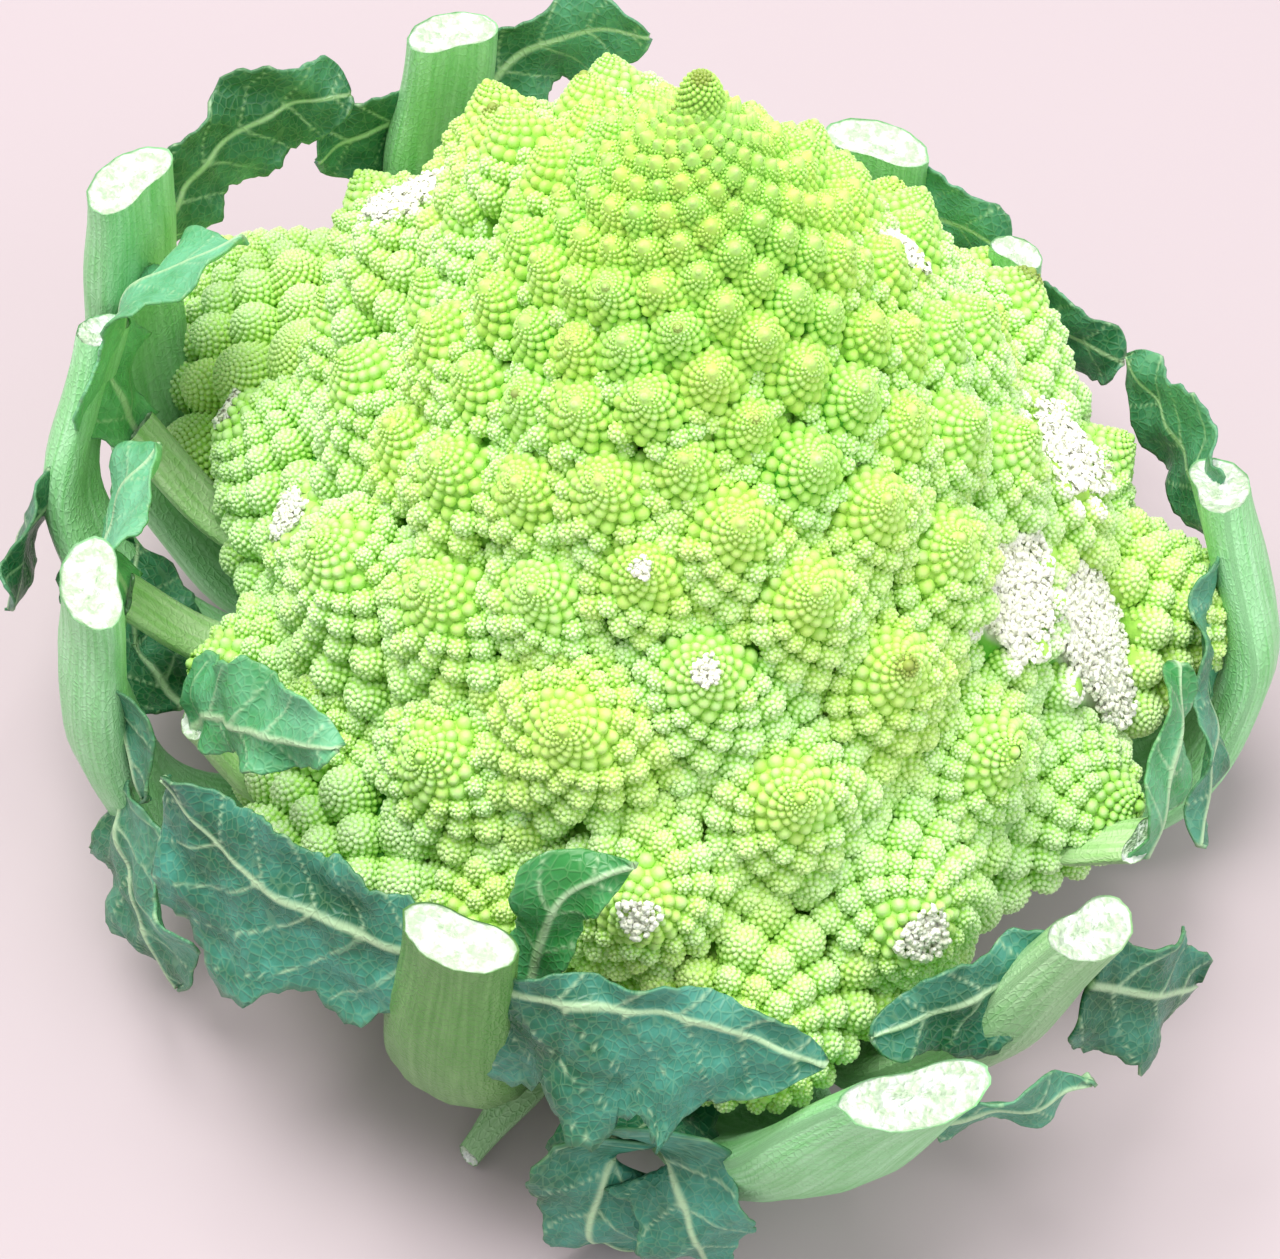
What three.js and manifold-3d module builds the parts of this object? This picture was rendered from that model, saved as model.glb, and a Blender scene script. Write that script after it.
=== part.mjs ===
// A trimmed romanesco head, standing on the cut face of its stem: a conical curd of spiralled florets in a
// cup of leaf stalks that were cut off half-way up, with the torn remains of the blades still on them.
// Millimetres, +Z up. The origin is the centre of the stem's cut face, and the head's axis is Z.
// Places are given as [azimuth in degrees, distance from the axis, height].

import * as THREE from "three";
import Module from "manifold-3d";
import { mergeVertices } from "three/addons/utils/BufferGeometryUtils.js";

const wasm = await Module();
wasm.setup();

// Driving dimensions
const APEX_Z = 160; // the curd's tip
const SLOPE_DEG = 37.6; // between the curd's axis and its flank, over the floret tips
const RIM_S = 146; // slant distance from the tip to the widest florets
const STEM_R = 22;
const STEM_TOP_Z = 33;
const GAP = 0.35; // kept between neighbouring pieces

// The florets' spiral: each one turns by the golden angle and lies a little further from the tip.
const GOLDEN_DEG = 137.508;
const FIRST_DEG = 136;
const FIRST_S = 2.2;
const FINE_GROWTH = 0.0125; // natural logarithm of the step to the next floret, near the tip
const COARSE_GROWTH = 0.021; // the same, near the rim
const GROWTH_FROM_S = 50; // where the step starts to coarsen
const GROWTH_TO_S = 130; // and where it is coarsest
const RIM_CROWDING = 0.5; // how much closer than their size allows the florets stand at the rim
const CROWDING_FROM_S = 118;
const CROWDING_TO_S = 138;
const SMALLEST_S = 48; // nearer the tip than this, the florets are finer than this model shows
const FLORET_REACH = 0.6; // a floret's radius as a share of the spacing between florets
const FLORET_LIFT = 0.19; // its height above the core, as a share of its slant distance

// Flanks of the curd that swell out: azimuth and half width in degrees, and the share they swell by half way
// down the flank and at the rim.
const BULGES = [
  [133, 16, 0.3, 0.34],
  [106, 22, 0.42, -0.04],
  [66, 22, 0.2, 0.06],
  [195, 45, -0.03, -0.04],
];

// The hollow under the curd, which the leaf stalks run up: distance from the axis and height.
const BOWL = [
  [27, STEM_TOP_Z + GAP],
  [60, 44],
  [100, 51],
  [140, 64],
];
const BULGE_MIDDLE_S = 90; // where the flanks swell by their half-way share
const BULGE_RIM_S = 140; // and where they swell by their rim share

const CURD_GREEN = 0xb4d850;
const STEM_GREEN = 0xcfe0a8;
const STALK_GREEN = 0x9fc46a;
const BLADE_GREEN = 0x3f7a5a;
const INNER_GREEN = 0x5fae6a;

const radians = THREE.MathUtils.degToRad;

// On the cone's skin each floret has growth * s^2 * 2 pi sin(slope) of room; packed in a hexagonal pattern,
// that makes the square of the spacing this many times growth * s^2.
const PACKING = (4 * Math.PI * Math.sin(radians(SLOPE_DEG))) / Math.sqrt(3);

function place([azimuth, radius, z]) {
  const a = radians(azimuth);
  return new THREE.Vector3(radius * Math.cos(a), radius * Math.sin(a), z);
}

function outward(point) {
  return new THREE.Vector3(point.x, point.y, 0).normalize();
}

function toSolid(geometry) {
  const bare = new THREE.BufferGeometry().setAttribute("position", geometry.getAttribute("position"));
  bare.setIndex(geometry.index);
  const merged = mergeVertices(bare, 1e-4);
  return new wasm.Manifold(
    new wasm.Mesh({
      numProp: 3,
      vertProperties: new Float32Array(merged.attributes.position.array),
      triVerts: new Uint32Array(merged.index.array),
    }),
  );
}

function toGeometry(solid) {
  const mesh = solid.getMesh();
  return new THREE.BufferGeometry()
    .setAttribute("position", new THREE.BufferAttribute(new Float32Array(mesh.vertProperties), 3))
    .setIndex(new THREE.BufferAttribute(new Uint32Array(mesh.triVerts), 1));
}

function largestBody(solid) {
  return solid.decompose().sort((a, b) => b.volume() - a.volume())[0];
}

// A closed skin over rings of equal count, each ring running out along one face and back along the other,
// so that point i and point count - 1 - i face each other. The end rings are closed in strips.
function skin(rings) {
  const count = rings[0].length;
  const positions = rings.flat().flatMap((p) => [p.x, p.y, p.z]);
  const index = [];
  for (let i = 0; i + 1 < rings.length; i++) {
    for (let j = 0; j < count; j++) {
      const a = i * count + j;
      const b = i * count + ((j + 1) % count);
      index.push(a, b, b + count, a, b + count, a + count);
    }
  }
  const last = (rings.length - 1) * count;
  for (let j = 0; j + 1 < count / 2; j++) {
    const across = count - 1 - j;
    index.push(j, across, across - 1, j, across - 1, j + 1);
    index.push(last + j, last + across - 1, last + across, last + j, last + j + 1, last + across - 1);
  }
  const geometry = new THREE.BufferGeometry()
    .setAttribute("position", new THREE.BufferAttribute(new Float32Array(positions), 3))
    .setIndex(index);
  const solid = toSolid(geometry);
  if (solid.volume() > 0) return solid;
  geometry.setIndex(index.reverse());
  return toSolid(geometry);
}

// Reads a list of values at a share t of its length, smoothly.
function at(values, t) {
  if (!Array.isArray(values)) return values;
  const x = t * (values.length - 1);
  const i = Math.min(Math.floor(x), values.length - 2);
  return THREE.MathUtils.lerp(values[i], values[i + 1], THREE.MathUtils.smoothstep(x - i, 0, 1));
}

// ---- Curd ----

function bulge(azimuth, s) {
  let grow = 1;
  for (const [centre, width, middle, rim] of BULGES) {
    const off = THREE.MathUtils.euclideanModulo(azimuth - centre + 180, 360) - 180;
    const down = THREE.MathUtils.smoothstep(s, BULGE_MIDDLE_S, BULGE_RIM_S);
    const share = THREE.MathUtils.lerp(middle, rim, down);
    grow += share * THREE.MathUtils.smoothstep(s, 0, 60) * Math.exp(-((off / width) ** 2));
  }
  return grow;
}

// The core under the florets: the cone's flank inset by the florets' height, and the branching underside.
function curdCore(pad) {
  const half = radians(SLOPE_DEG);
  const inset = FLORET_LIFT * 0.62;
  const flank = (s) => new THREE.Vector2(s * Math.sin(half - inset), APEX_Z - s * Math.cos(half - inset));
  const tip = flank(SMALLEST_S * 0.1);
  const profile = [
    new THREE.Vector2(0, APEX_Z + pad),
    new THREE.Vector2(tip.x + 1.6 + pad, tip.y - 1),
    flank(SMALLEST_S * 0.55).add(new THREE.Vector2(3.2 + pad, 0)),
    flank(SMALLEST_S).add(new THREE.Vector2(4 + pad, 0)),
    flank(RIM_S * 0.66).add(new THREE.Vector2(2 + pad, 0)),
    flank(RIM_S * 0.95).add(new THREE.Vector2(1 + pad, 0)),
    new THREE.Vector2(60 + pad, 47 - pad),
    new THREE.Vector2(38 + pad, 38 - pad),
    new THREE.Vector2(26 + pad, STEM_TOP_Z + GAP - pad),
    new THREE.Vector2(0, STEM_TOP_Z + GAP - pad),
  ].reverse();
  return toSolid(new THREE.LatheGeometry(profile, 30).rotateX(Math.PI / 2));
}

// The spiral's growth at a slant distance from the tip.
function growth(s) {
  const share = THREE.MathUtils.smoothstep(s, GROWTH_FROM_S, GROWTH_TO_S);
  return THREE.MathUtils.lerp(FINE_GROWTH, COARSE_GROWTH, share);
}

// One floret, at an azimuth and a slant distance from the tip: a blunt cone on the core, leaning up.
function floret(azimuth, s, pad) {
  const grow = bulge(azimuth, s);
  const spacing = Math.sqrt(PACKING * growth(s)) * s;
  const radius = FLORET_REACH * spacing * (0.5 + 0.5 * grow) + pad;
  const height = FLORET_LIFT * s * grow + radius * 0.6;
  const half = radians(SLOPE_DEG);
  const lean = radians(34 - 14 * (s / RIM_S));
  const axis = place([azimuth, Math.cos(lean), Math.sin(lean)]);
  const tip = place([azimuth, s * Math.sin(half) * grow, APEX_Z - s * Math.cos(half)]);
  const shape = [
    new THREE.Vector2(0, height + pad),
    new THREE.Vector2(radius * 0.26, height * 0.9),
    new THREE.Vector2(radius * 0.82, height * 0.48),
    new THREE.Vector2(radius, height * 0.16),
    new THREE.Vector2(radius * 0.62, -radius * 0.35),
    new THREE.Vector2(0, -radius * 0.5),
  ].reverse();
  const cone = new THREE.LatheGeometry(shape, 8);
  cone.applyQuaternion(new THREE.Quaternion().setFromUnitVectors(new THREE.Vector3(0, 1, 0), axis));
  const foot = tip.clone().addScaledVector(axis, -height);
  cone.translate(foot.x, foot.y, foot.z);
  return toSolid(cone);
}

// The space that the curd grows in: everything above the bowl.
function bowl(pad) {
  const ceiling = APEX_Z + 20;
  const edge = BOWL[BOWL.length - 1][0];
  const profile = [
    new THREE.Vector2(0, BOWL[0][1] - pad),
    ...BOWL.map(([radius, z]) => new THREE.Vector2(radius, z - pad)),
    new THREE.Vector2(edge, ceiling),
    new THREE.Vector2(0, ceiling),
  ];
  return toSolid(new THREE.LatheGeometry(profile, 36).rotateX(Math.PI / 2));
}

function curd(pad = 0) {
  const florets = [];
  let azimuth = FIRST_DEG;
  let s = FIRST_S;
  while (s < RIM_S) {
    if (s >= SMALLEST_S) florets.push(floret(azimuth, s, pad));
    azimuth -= GOLDEN_DEG;
    const crowding = RIM_CROWDING * THREE.MathUtils.smoothstep(s, CROWDING_FROM_S, CROWDING_TO_S);
    s *= Math.exp(growth(s) * (1 - crowding));
  }
  const grown = wasm.Manifold.union([curdCore(pad), ...florets]);
  return largestBody(grown.intersect(bowl(pad)));
}

// ---- Stem ----

function stem(pad = 0) {
  const profile = [
    new THREE.Vector2(0, -pad),
    new THREE.Vector2(STEM_R - 2 + pad, -pad),
    new THREE.Vector2(STEM_R + pad, 2),
    new THREE.Vector2(STEM_R - 1 + pad, STEM_TOP_Z * 0.5),
    new THREE.Vector2(STEM_R + 2 + pad, STEM_TOP_Z + pad),
    new THREE.Vector2(0, STEM_TOP_Z + pad),
  ];
  return toSolid(new THREE.LatheGeometry(profile, 28).rotateX(Math.PI / 2));
}

// ---- Leaves ----

const STALK_STEPS = 10;
const BLADE_STEPS = 8;
const BLADE_ROWS = 5;
const BLADE_THICKNESS = 1.5;

// A stalk's section, seen along it: a rounded keel outside and a shallow face inside, as shares of its
// half width and half depth.
const STALK_SECTION = [
  [-1, 0.1],
  [-0.55, 0.5],
  [0, 0.42],
  [0.55, 0.5],
  [1, 0.1],
  [0.85, -0.6],
  [0.35, -1],
  [-0.35, -1],
  [-0.85, -0.6],
  [-1, -0.1],
];

function stalk({ path, width, depth }, pad) {
  const curve = new THREE.CatmullRomCurve3(path.map(place));
  const rings = [];
  for (let i = 0; i <= STALK_STEPS; i++) {
    const t = i / STALK_STEPS;
    const along = curve.getTangent(t);
    const centre = curve.getPoint(t);
    if (i === 0) centre.addScaledVector(along, -pad);
    if (i === STALK_STEPS) centre.addScaledVector(along, pad);
    const out = outward(centre);
    const facing = new THREE.Vector3(0, 0, along.dot(out)).addScaledVector(out, -along.z);
    const side = new THREE.Vector3().crossVectors(along, facing).normalize();
    const inner = new THREE.Vector3().crossVectors(side, along);
    const w = at(width, t) / 2 + pad;
    const d = at(depth, t) / 2 + pad;
    const point = ([x, y]) => centre.clone().addScaledVector(side, x * w).addScaledVector(inner, y * d);
    rings.push(STALK_SECTION.map(point));
  }
  return skin(rings);
}

// A blade, or what is left of one: a thin sheet along a vein. `faces` is how far its inner face looks up
// from facing the axis, in degrees. `left` and `right` are its widths on the two sides of the vein.
function blade({ vein, left, right, faces = 0 }, pad) {
  const curve = new THREE.CatmullRomCurve3(vein.map(place));
  const rings = [];
  for (let i = 0; i <= BLADE_STEPS; i++) {
    const t = i / BLADE_STEPS;
    const along = curve.getTangent(t);
    const centre = curve.getPoint(t);
    if (i === 0) centre.addScaledVector(along, -pad);
    if (i === BLADE_STEPS) centre.addScaledVector(along, pad);
    const f = radians(at(faces, t));
    const wanted = outward(centre).multiplyScalar(-Math.cos(f)).add(new THREE.Vector3(0, 0, Math.sin(f)));
    const side = new THREE.Vector3().crossVectors(along, wanted).normalize();
    const normal = new THREE.Vector3().crossVectors(side, along).normalize();
    const l = at(left, t) + pad;
    const r = at(right, t) + pad;
    const thickness = BLADE_THICKNESS / 2 + pad;
    const row = (height, j) => {
      const x = THREE.MathUtils.lerp(-l, r, j / (BLADE_ROWS - 1));
      return centre.clone().addScaledVector(side, x).addScaledVector(normal, height);
    };
    const ring = [];
    for (let j = 0; j < BLADE_ROWS; j++) ring.push(row(thickness, j));
    for (let j = BLADE_ROWS - 1; j >= 0; j--) ring.push(row(-thickness, j));
    rings.push(ring);
  }
  return skin(rings);
}

function leaf({ stalks = [], blades = [] }, pad = 0) {
  return wasm.Manifold.union([...stalks.map((s) => stalk(s, pad)), ...blades.map((b) => blade(b, pad))]);
}

// Outer leaves, cut off short, then the small inner leaves that lie on the curd, then a torn old leaf.
const LEAVES = {
  leaf_front: {
    color: STALK_GREEN,
    stalks: [
      {
        path: [[-88, 23.5, 12], [-87, 50, 8.5], [-84, 78, 12], [-79, 93, 32], [-72, 99, 56]],
        width: [24, 27, 31, 29, 25],
        depth: [11, 13, 15, 15, 12],
      },
    ],
    blades: [
      {
        vein: [[-70, 100, 46], [-63, 104, 48], [-57, 105, 47]],
        left: [5, 5, 2],
        right: [7, 5, 1.5],
      },
    ],
  },
  leaf_front_left: {
    color: BLADE_GREEN,
    stalks: [
      {
        path: [[-124, 23.5, 20], [-121, 50, 17], [-117, 76, 20], [-114, 88, 42], [-112, 87, 76]],
        width: [22, 22, 24, 20, 17],
        depth: [10, 11, 13, 13, 12],
      },
    ],
    blades: [
      {
        vein: [[-113, 88, 68], [-122, 88, 65], [-134, 91, 66], [-146, 93, 71]],
        left: [7, 9, 9, 4],
        right: [7, 14, 20, 8],
        faces: [-15, -28, -28, -20],
      },
      {
        vein: [[-111, 88, 65], [-101, 89, 68], [-90, 89, 67], [-79, 94, 59]],
        left: [16, 20, 18, 3],
        right: [3, 4, 4, 3],
        faces: [-15, -28, -30, -30],
      },
    ],
  },
  leaf_front_right: {
    color: BLADE_GREEN,
    stalks: [
      {
        path: [[-62, 23.5, 22], [-64, 48, 18], [-66, 74, 21], [-60, 87, 42], [-52, 91, 63]],
        width: [20, 22, 23, 21, 17],
        depth: [10, 11, 13, 13, 12],
      },
    ],
    blades: [
      {
        vein: [[-54, 90, 56], [-63, 89, 57], [-74, 90, 56]],
        left: [6, 6, 3],
        right: [9, 10, 4],
        faces: [-15, -25, -25],
      },
      {
        vein: [[-52, 94, 50], [-46, 99, 42], [-40, 100, 32]],
        left: [9, 12, 6],
        right: [6, 9, 6],
        faces: [-10, -20, -15],
      },
    ],
  },
  leaf_right: {
    color: STALK_GREEN,
    stalks: [
      {
        path: [[-14, 23.5, 14], [-11, 50, 9], [-8, 79, 13], [-1, 90, 34], [8, 84.5, 59]],
        width: [22, 24, 25, 22, 16],
        depth: [11, 12, 14, 13, 12],
      },
    ],
    blades: [
      {
        vein: [[3, 85, 47], [-7, 83, 44], [-18, 86, 41], [-28, 89, 36]],
        left: [8, 9, 8, 3],
        right: [8, 9, 9, 4],
        faces: -12,
      },
      { vein: [[9, 86, 49], [20, 86, 51], [31, 86, 53]], left: [7, 10, 5], right: [10, 10, 4], faces: 5 },
    ],
  },
  leaf_right_back: {
    color: STALK_GREEN,
    stalks: [
      {
        path: [[44, 23.5, 22], [46, 48, 19], [48, 75, 22], [50, 88, 36], [50, 88.5, 53]],
        width: [15, 16, 16, 14, 10],
        depth: [8, 9, 10, 10, 8],
      },
    ],
    blades: [
      {
        vein: [[49, 89, 40], [42, 90, 41], [35, 92, 42]],
        left: [6, 8, 4],
        right: [8, 9, 5],
        faces: 5,
      },
    ],
  },
  leaf_back_right: {
    color: STALK_GREEN,
    stalks: [
      {
        path: [[76, 23.5, 13], [74, 50, 9], [72, 79, 12], [70, 93, 34], [69, 92, 61]],
        width: [24, 26, 27, 24, 19],
        depth: [11, 12, 14, 14, 12],
      },
    ],
    blades: [
      { vein: [[67, 92, 47], [60, 92, 49], [52, 92, 49]], left: [8, 9, 5], right: [9, 9, 5], faces: 8 },
      { vein: [[72, 92, 47], [80, 92, 46], [88, 92, 43]], left: [8, 9, 5], right: [9, 10, 5], faces: 8 },
    ],
  },
  leaf_back_left: {
    color: STALK_GREEN,
    stalks: [
      {
        path: [[122, 23.5, 21], [121, 50, 18], [119, 80, 22], [117, 96, 50], [114, 97, 84]],
        width: [20, 22, 23, 20, 16],
        depth: [10, 11, 13, 13, 12],
      },
    ],
    blades: [
      {
        vein: [[112, 97, 69], [106, 99, 75], [99, 97, 79], [94, 93, 80]],
        left: [5, 6, 7, 4],
        right: [8, 10, 10, 5],
        faces: [5, 10, 10, 20],
      },
      {
        vein: [[118, 99, 66], [123, 101, 66], [129, 101, 65]],
        left: [10, 11, 6],
        right: [6, 7, 4],
        faces: 5,
      },
    ],
  },
  leaf_left_back: {
    color: STALK_GREEN,
    stalks: [
      {
        path: [[160, 23.5, 13], [158, 52, 9], [156, 84, 14], [153, 103, 42], [149.5, 104, 86]],
        width: [23, 25, 26, 23, 19],
        depth: [11, 12, 14, 14, 13],
      },
    ],
    blades: [
      {
        vein: [[147, 105, 70], [140, 105, 76], [132, 103, 79], [125, 99, 78]],
        left: [5, 8, 9, 6],
        right: [8, 10, 10, 6],
        faces: 8,
      },
    ],
  },
  leaf_left_upper: {
    color: STALK_GREEN,
    stalks: [
      {
        path: [[-178, 23.5, 23], [-178, 50, 20], [176, 84, 24], [170, 102, 46], [160, 100, 71]],
        width: [17, 18, 18, 16, 12],
        depth: [8, 9, 10, 10, 9],
      },
    ],
    blades: [
      {
        vein: [[170, 104, 52], [175, 108, 50], [-179, 109, 44]],
        left: [8, 11, 7],
        right: [5, 8, 7],
        faces: -8,
      },
      {
        vein: [[-172, 84, 30], [179, 92, 33], [169, 94, 36]],
        left: [9, 12, 9],
        right: [9, 12, 9],
        faces: 55,
      },
    ],
  },
  leaf_left: {
    color: STALK_GREEN,
    stalks: [
      {
        path: [[-156, 23.5, 13], [-158, 52, 9], [-162, 84, 14], [-166, 94, 42], [-168, 91, 74]],
        width: [24, 26, 27, 26, 19],
        depth: [11, 12, 14, 14, 12],
      },
    ],
    blades: [
      {
        vein: [[-165, 93, 56], [-160, 92, 52], [-155, 93, 45]],
        left: [9, 9, 6],
        right: [8, 8, 6],
        faces: -10,
      },
      {
        vein: [[-160, 95, 38], [-155, 98, 34], [-150, 99, 24], [-146, 98, 15]],
        left: [8, 12, 12, 8],
        right: [8, 12, 13, 8],
        faces: -18,
      },
    ],
  },
  inner_leaf_left: {
    color: INNER_GREEN,
    stalks: [
      {
        path: [[-146, 30, 31], [-148, 52, 33], [-153, 74, 40], [-158, 82, 54]],
        width: 8,
        depth: 5,
      },
    ],
    blades: [
      {
        vein: [[-158, 82, 53], [-154, 81, 63], [-145, 78, 72], [-134, 73, 79]],
        left: [4, 5, 5, 3],
        right: [4, 9, 9, 4],
        faces: [-5, -20, -34, -38],
      },
    ],
  },
  inner_leaf_front: {
    color: INNER_GREEN,
    stalks: [
      {
        path: [[-100, 30, 31], [-102, 52, 33], [-105, 74, 41], [-107, 83, 54]],
        width: 8,
        depth: 5,
      },
    ],
    blades: [
      {
        vein: [[-107, 83, 53], [-106, 80, 66], [-104, 77, 76], [-97, 73, 81]],
        left: [2, 4, 5, 2],
        right: [2, 4, 6, 2],
        faces: [-5, -15, -35, -40],
      },
    ],
  },
  inner_leaf_right: {
    color: INNER_GREEN,
    stalks: [{ path: [[-38, 30, 31], [-38, 52, 33], [-37, 72, 40], [-36, 83, 49]], width: 9, depth: 5 }],
    blades: [
      {
        vein: [[-36, 84, 46], [-33, 84, 52], [-28, 82, 58], [-20, 78, 64]],
        left: [4, 6, 7, 3],
        right: [4, 6, 6, 3],
        faces: [-5, -10, -15, -30],
      },
    ],
  },
  inner_leaf_left_back: {
    color: INNER_GREEN,
    stalks: [{ path: [[168, 30, 31], [167, 54, 31], [165, 80, 38], [162, 96, 52]], width: 9, depth: 5 }],
    blades: [
      {
        vein: [[162, 96, 50], [162, 99, 64], [158, 96, 77], [150, 82, 85]],
        left: [5, 12, 14, 5],
        right: [5, 12, 14, 5],
        faces: [-5, -15, -35, -55],
      },
    ],
  },
  inner_leaf_left_mid: {
    color: INNER_GREEN,
    stalks: [
      {
        path: [[-176, 30, 31], [-176, 54, 31], [-177, 78, 38], [-178, 90, 50]],
        width: 9,
        depth: 5,
      },
    ],
    blades: [
      {
        vein: [[-178, 90, 48], [-179, 92, 58], [177, 89, 66], [173, 84, 71]],
        left: [5, 12, 12, 5],
        right: [5, 11, 12, 5],
        faces: [-5, -20, -35, -40],
      },
    ],
  },
  torn_leaf: {
    color: BLADE_GREEN,
    stalks: [
      {
        path: [[-102, 23.5, 8], [-101, 45, 8], [-99, 66, 12], [-96, 84, 26]],
        width: [16, 15, 14, 12],
        depth: [7, 7, 6, 5],
      },
      {
        path: [[-102, 45, 8], [-107, 62, 9], [-111, 74, 8], [-114, 86, 3]],
        width: [6, 8, 7, 4],
        depth: [4, 5.5, 5, 3.6],
      },
    ],
    blades: [
      {
        vein: [[-97, 80, 25], [-98, 93, 27], [-99, 98, 15], [-97, 95, 5], [-94, 94, 2]],
        left: [8, 10, 9, 7, 4],
        right: [8, 11, 10, 8, 4],
        faces: [50, 10, -10, 10, 40],
      },
      {
        vein: [[-95, 80, 26], [-92, 94, 32], [-90, 101, 22], [-88.5, 99, 8]],
        left: [8, 11, 8, 3],
        right: [8, 10, 8, 3],
        faces: [50, 10, -5, -5],
      },
    ],
  },
};

// ---- Assembly: each piece is cut clear of the ones before it ----

function material(color, roughness) {
  return new THREE.MeshStandardMaterial({ color, roughness, metalness: 0 });
}

const FLOOR = toSolid(new THREE.BoxGeometry(400, 400, 100).translate(0, 0, -50));

function assemble() {
  const group = new THREE.Group();
  const padded = [];
  const add = (name, make, color, roughness) => {
    let solid = make(0);
    for (const other of [FLOOR, ...padded]) {
      if (solid.intersect(other).volume() > 0) solid = solid.subtract(other);
    }
    const mesh = new THREE.Mesh(toGeometry(largestBody(solid)), material(color, roughness));
    mesh.name = name;
    group.add(mesh);
    padded.push(make(GAP));
  };
  add("stem", stem, STEM_GREEN, 0.6);
  for (const [name, spec] of Object.entries(LEAVES)) {
    add(name, (pad) => leaf(spec, pad), spec.color, 0.5);
  }
  add("curd", curd, CURD_GREEN, 0.55);
  return group;
}

const romanesco = assemble();

export default romanesco;
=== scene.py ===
"""The looks of a trimmed romanesco head: a curd of spiralled florets built down to their single buds, in a
cup of cut leaf stalks with the torn remains of their blades. Shapes are worked out in millimetres on the
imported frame's axes, and scaled to metres by the curd's height in that frame."""

import math

import bpy
import numpy as np
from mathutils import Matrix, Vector


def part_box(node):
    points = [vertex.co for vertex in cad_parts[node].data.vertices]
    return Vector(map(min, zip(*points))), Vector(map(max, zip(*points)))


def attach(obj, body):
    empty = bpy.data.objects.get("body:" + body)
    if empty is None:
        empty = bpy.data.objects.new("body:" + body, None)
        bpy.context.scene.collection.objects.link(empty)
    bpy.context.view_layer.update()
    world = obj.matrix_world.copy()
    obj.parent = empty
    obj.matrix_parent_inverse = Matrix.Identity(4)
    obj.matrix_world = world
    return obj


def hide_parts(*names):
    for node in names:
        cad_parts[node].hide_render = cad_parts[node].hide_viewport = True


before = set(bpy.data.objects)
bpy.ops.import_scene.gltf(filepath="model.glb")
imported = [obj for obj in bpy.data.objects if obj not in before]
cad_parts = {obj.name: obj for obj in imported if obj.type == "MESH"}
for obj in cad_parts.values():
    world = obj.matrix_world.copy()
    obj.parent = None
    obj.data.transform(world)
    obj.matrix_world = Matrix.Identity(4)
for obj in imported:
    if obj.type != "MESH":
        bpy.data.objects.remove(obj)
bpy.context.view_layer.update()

NOMINAL_APEX = 160.0  # mm, the height of the curd's tip in the numbers below
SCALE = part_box("curd")[1].z / NOMINAL_APEX  # metres for one of those millimetres
STEM_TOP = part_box("stem")[1].z / SCALE
STEM_RADIUS = (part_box("stem")[1].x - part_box("stem")[0].x) / 2 / SCALE

GOLDEN = math.radians(137.508)
HEAD_SLOPE = math.radians(37.6)  # from the head's axis to its flank, over the florets' tips
PACKING = 4 * math.pi * math.sin(HEAD_SLOPE) / math.sqrt(3)  # spacing squared over growth * s squared
TIP_S = 2.2  # slant distance from the head's tip to the first floret
RIM_S = 149.0  # and to the last
FIRST_TURN = math.radians(136)
FINE_GROWTH = 0.0125  # natural logarithm of the step to the next floret, near the tip
COARSE_GROWTH = 0.021  # the same, near the rim
GROWTH_FROM_S, GROWTH_TO_S = 50, 130  # between these slant distances the step coarsens
RIM_CROWDING = 0.5  # how much closer than their size allows the florets stand at the rim
CROWDING_FROM_S, CROWDING_TO_S = 118, 138
SEED = 12


# ---- Small tools ----


def unit(v):
    """Vectors scaled to a length of 1."""
    return v / np.linalg.norm(v, axis=-1, keepdims=True)


def smoothstep(x):
    x = np.clip(x, 0, 1)
    return x * x * (3 - 2 * x)


def polar(degrees, radius, z):
    """A place given as azimuth, distance from the axis and height."""
    a = np.radians(degrees)
    return np.stack([radius * np.cos(a), radius * np.sin(a), np.broadcast_to(z, np.shape(a)) + 0.0], -1)


def across(axis):
    """Two unit vectors square to each axis, and to one another."""
    helper = np.where(np.abs(axis[..., 2:3]) < 0.9, [0.0, 0.0, 1.0], [1.0, 0.0, 0.0])
    x = unit(np.cross(helper, axis))
    return x, np.cross(axis, x)


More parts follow.
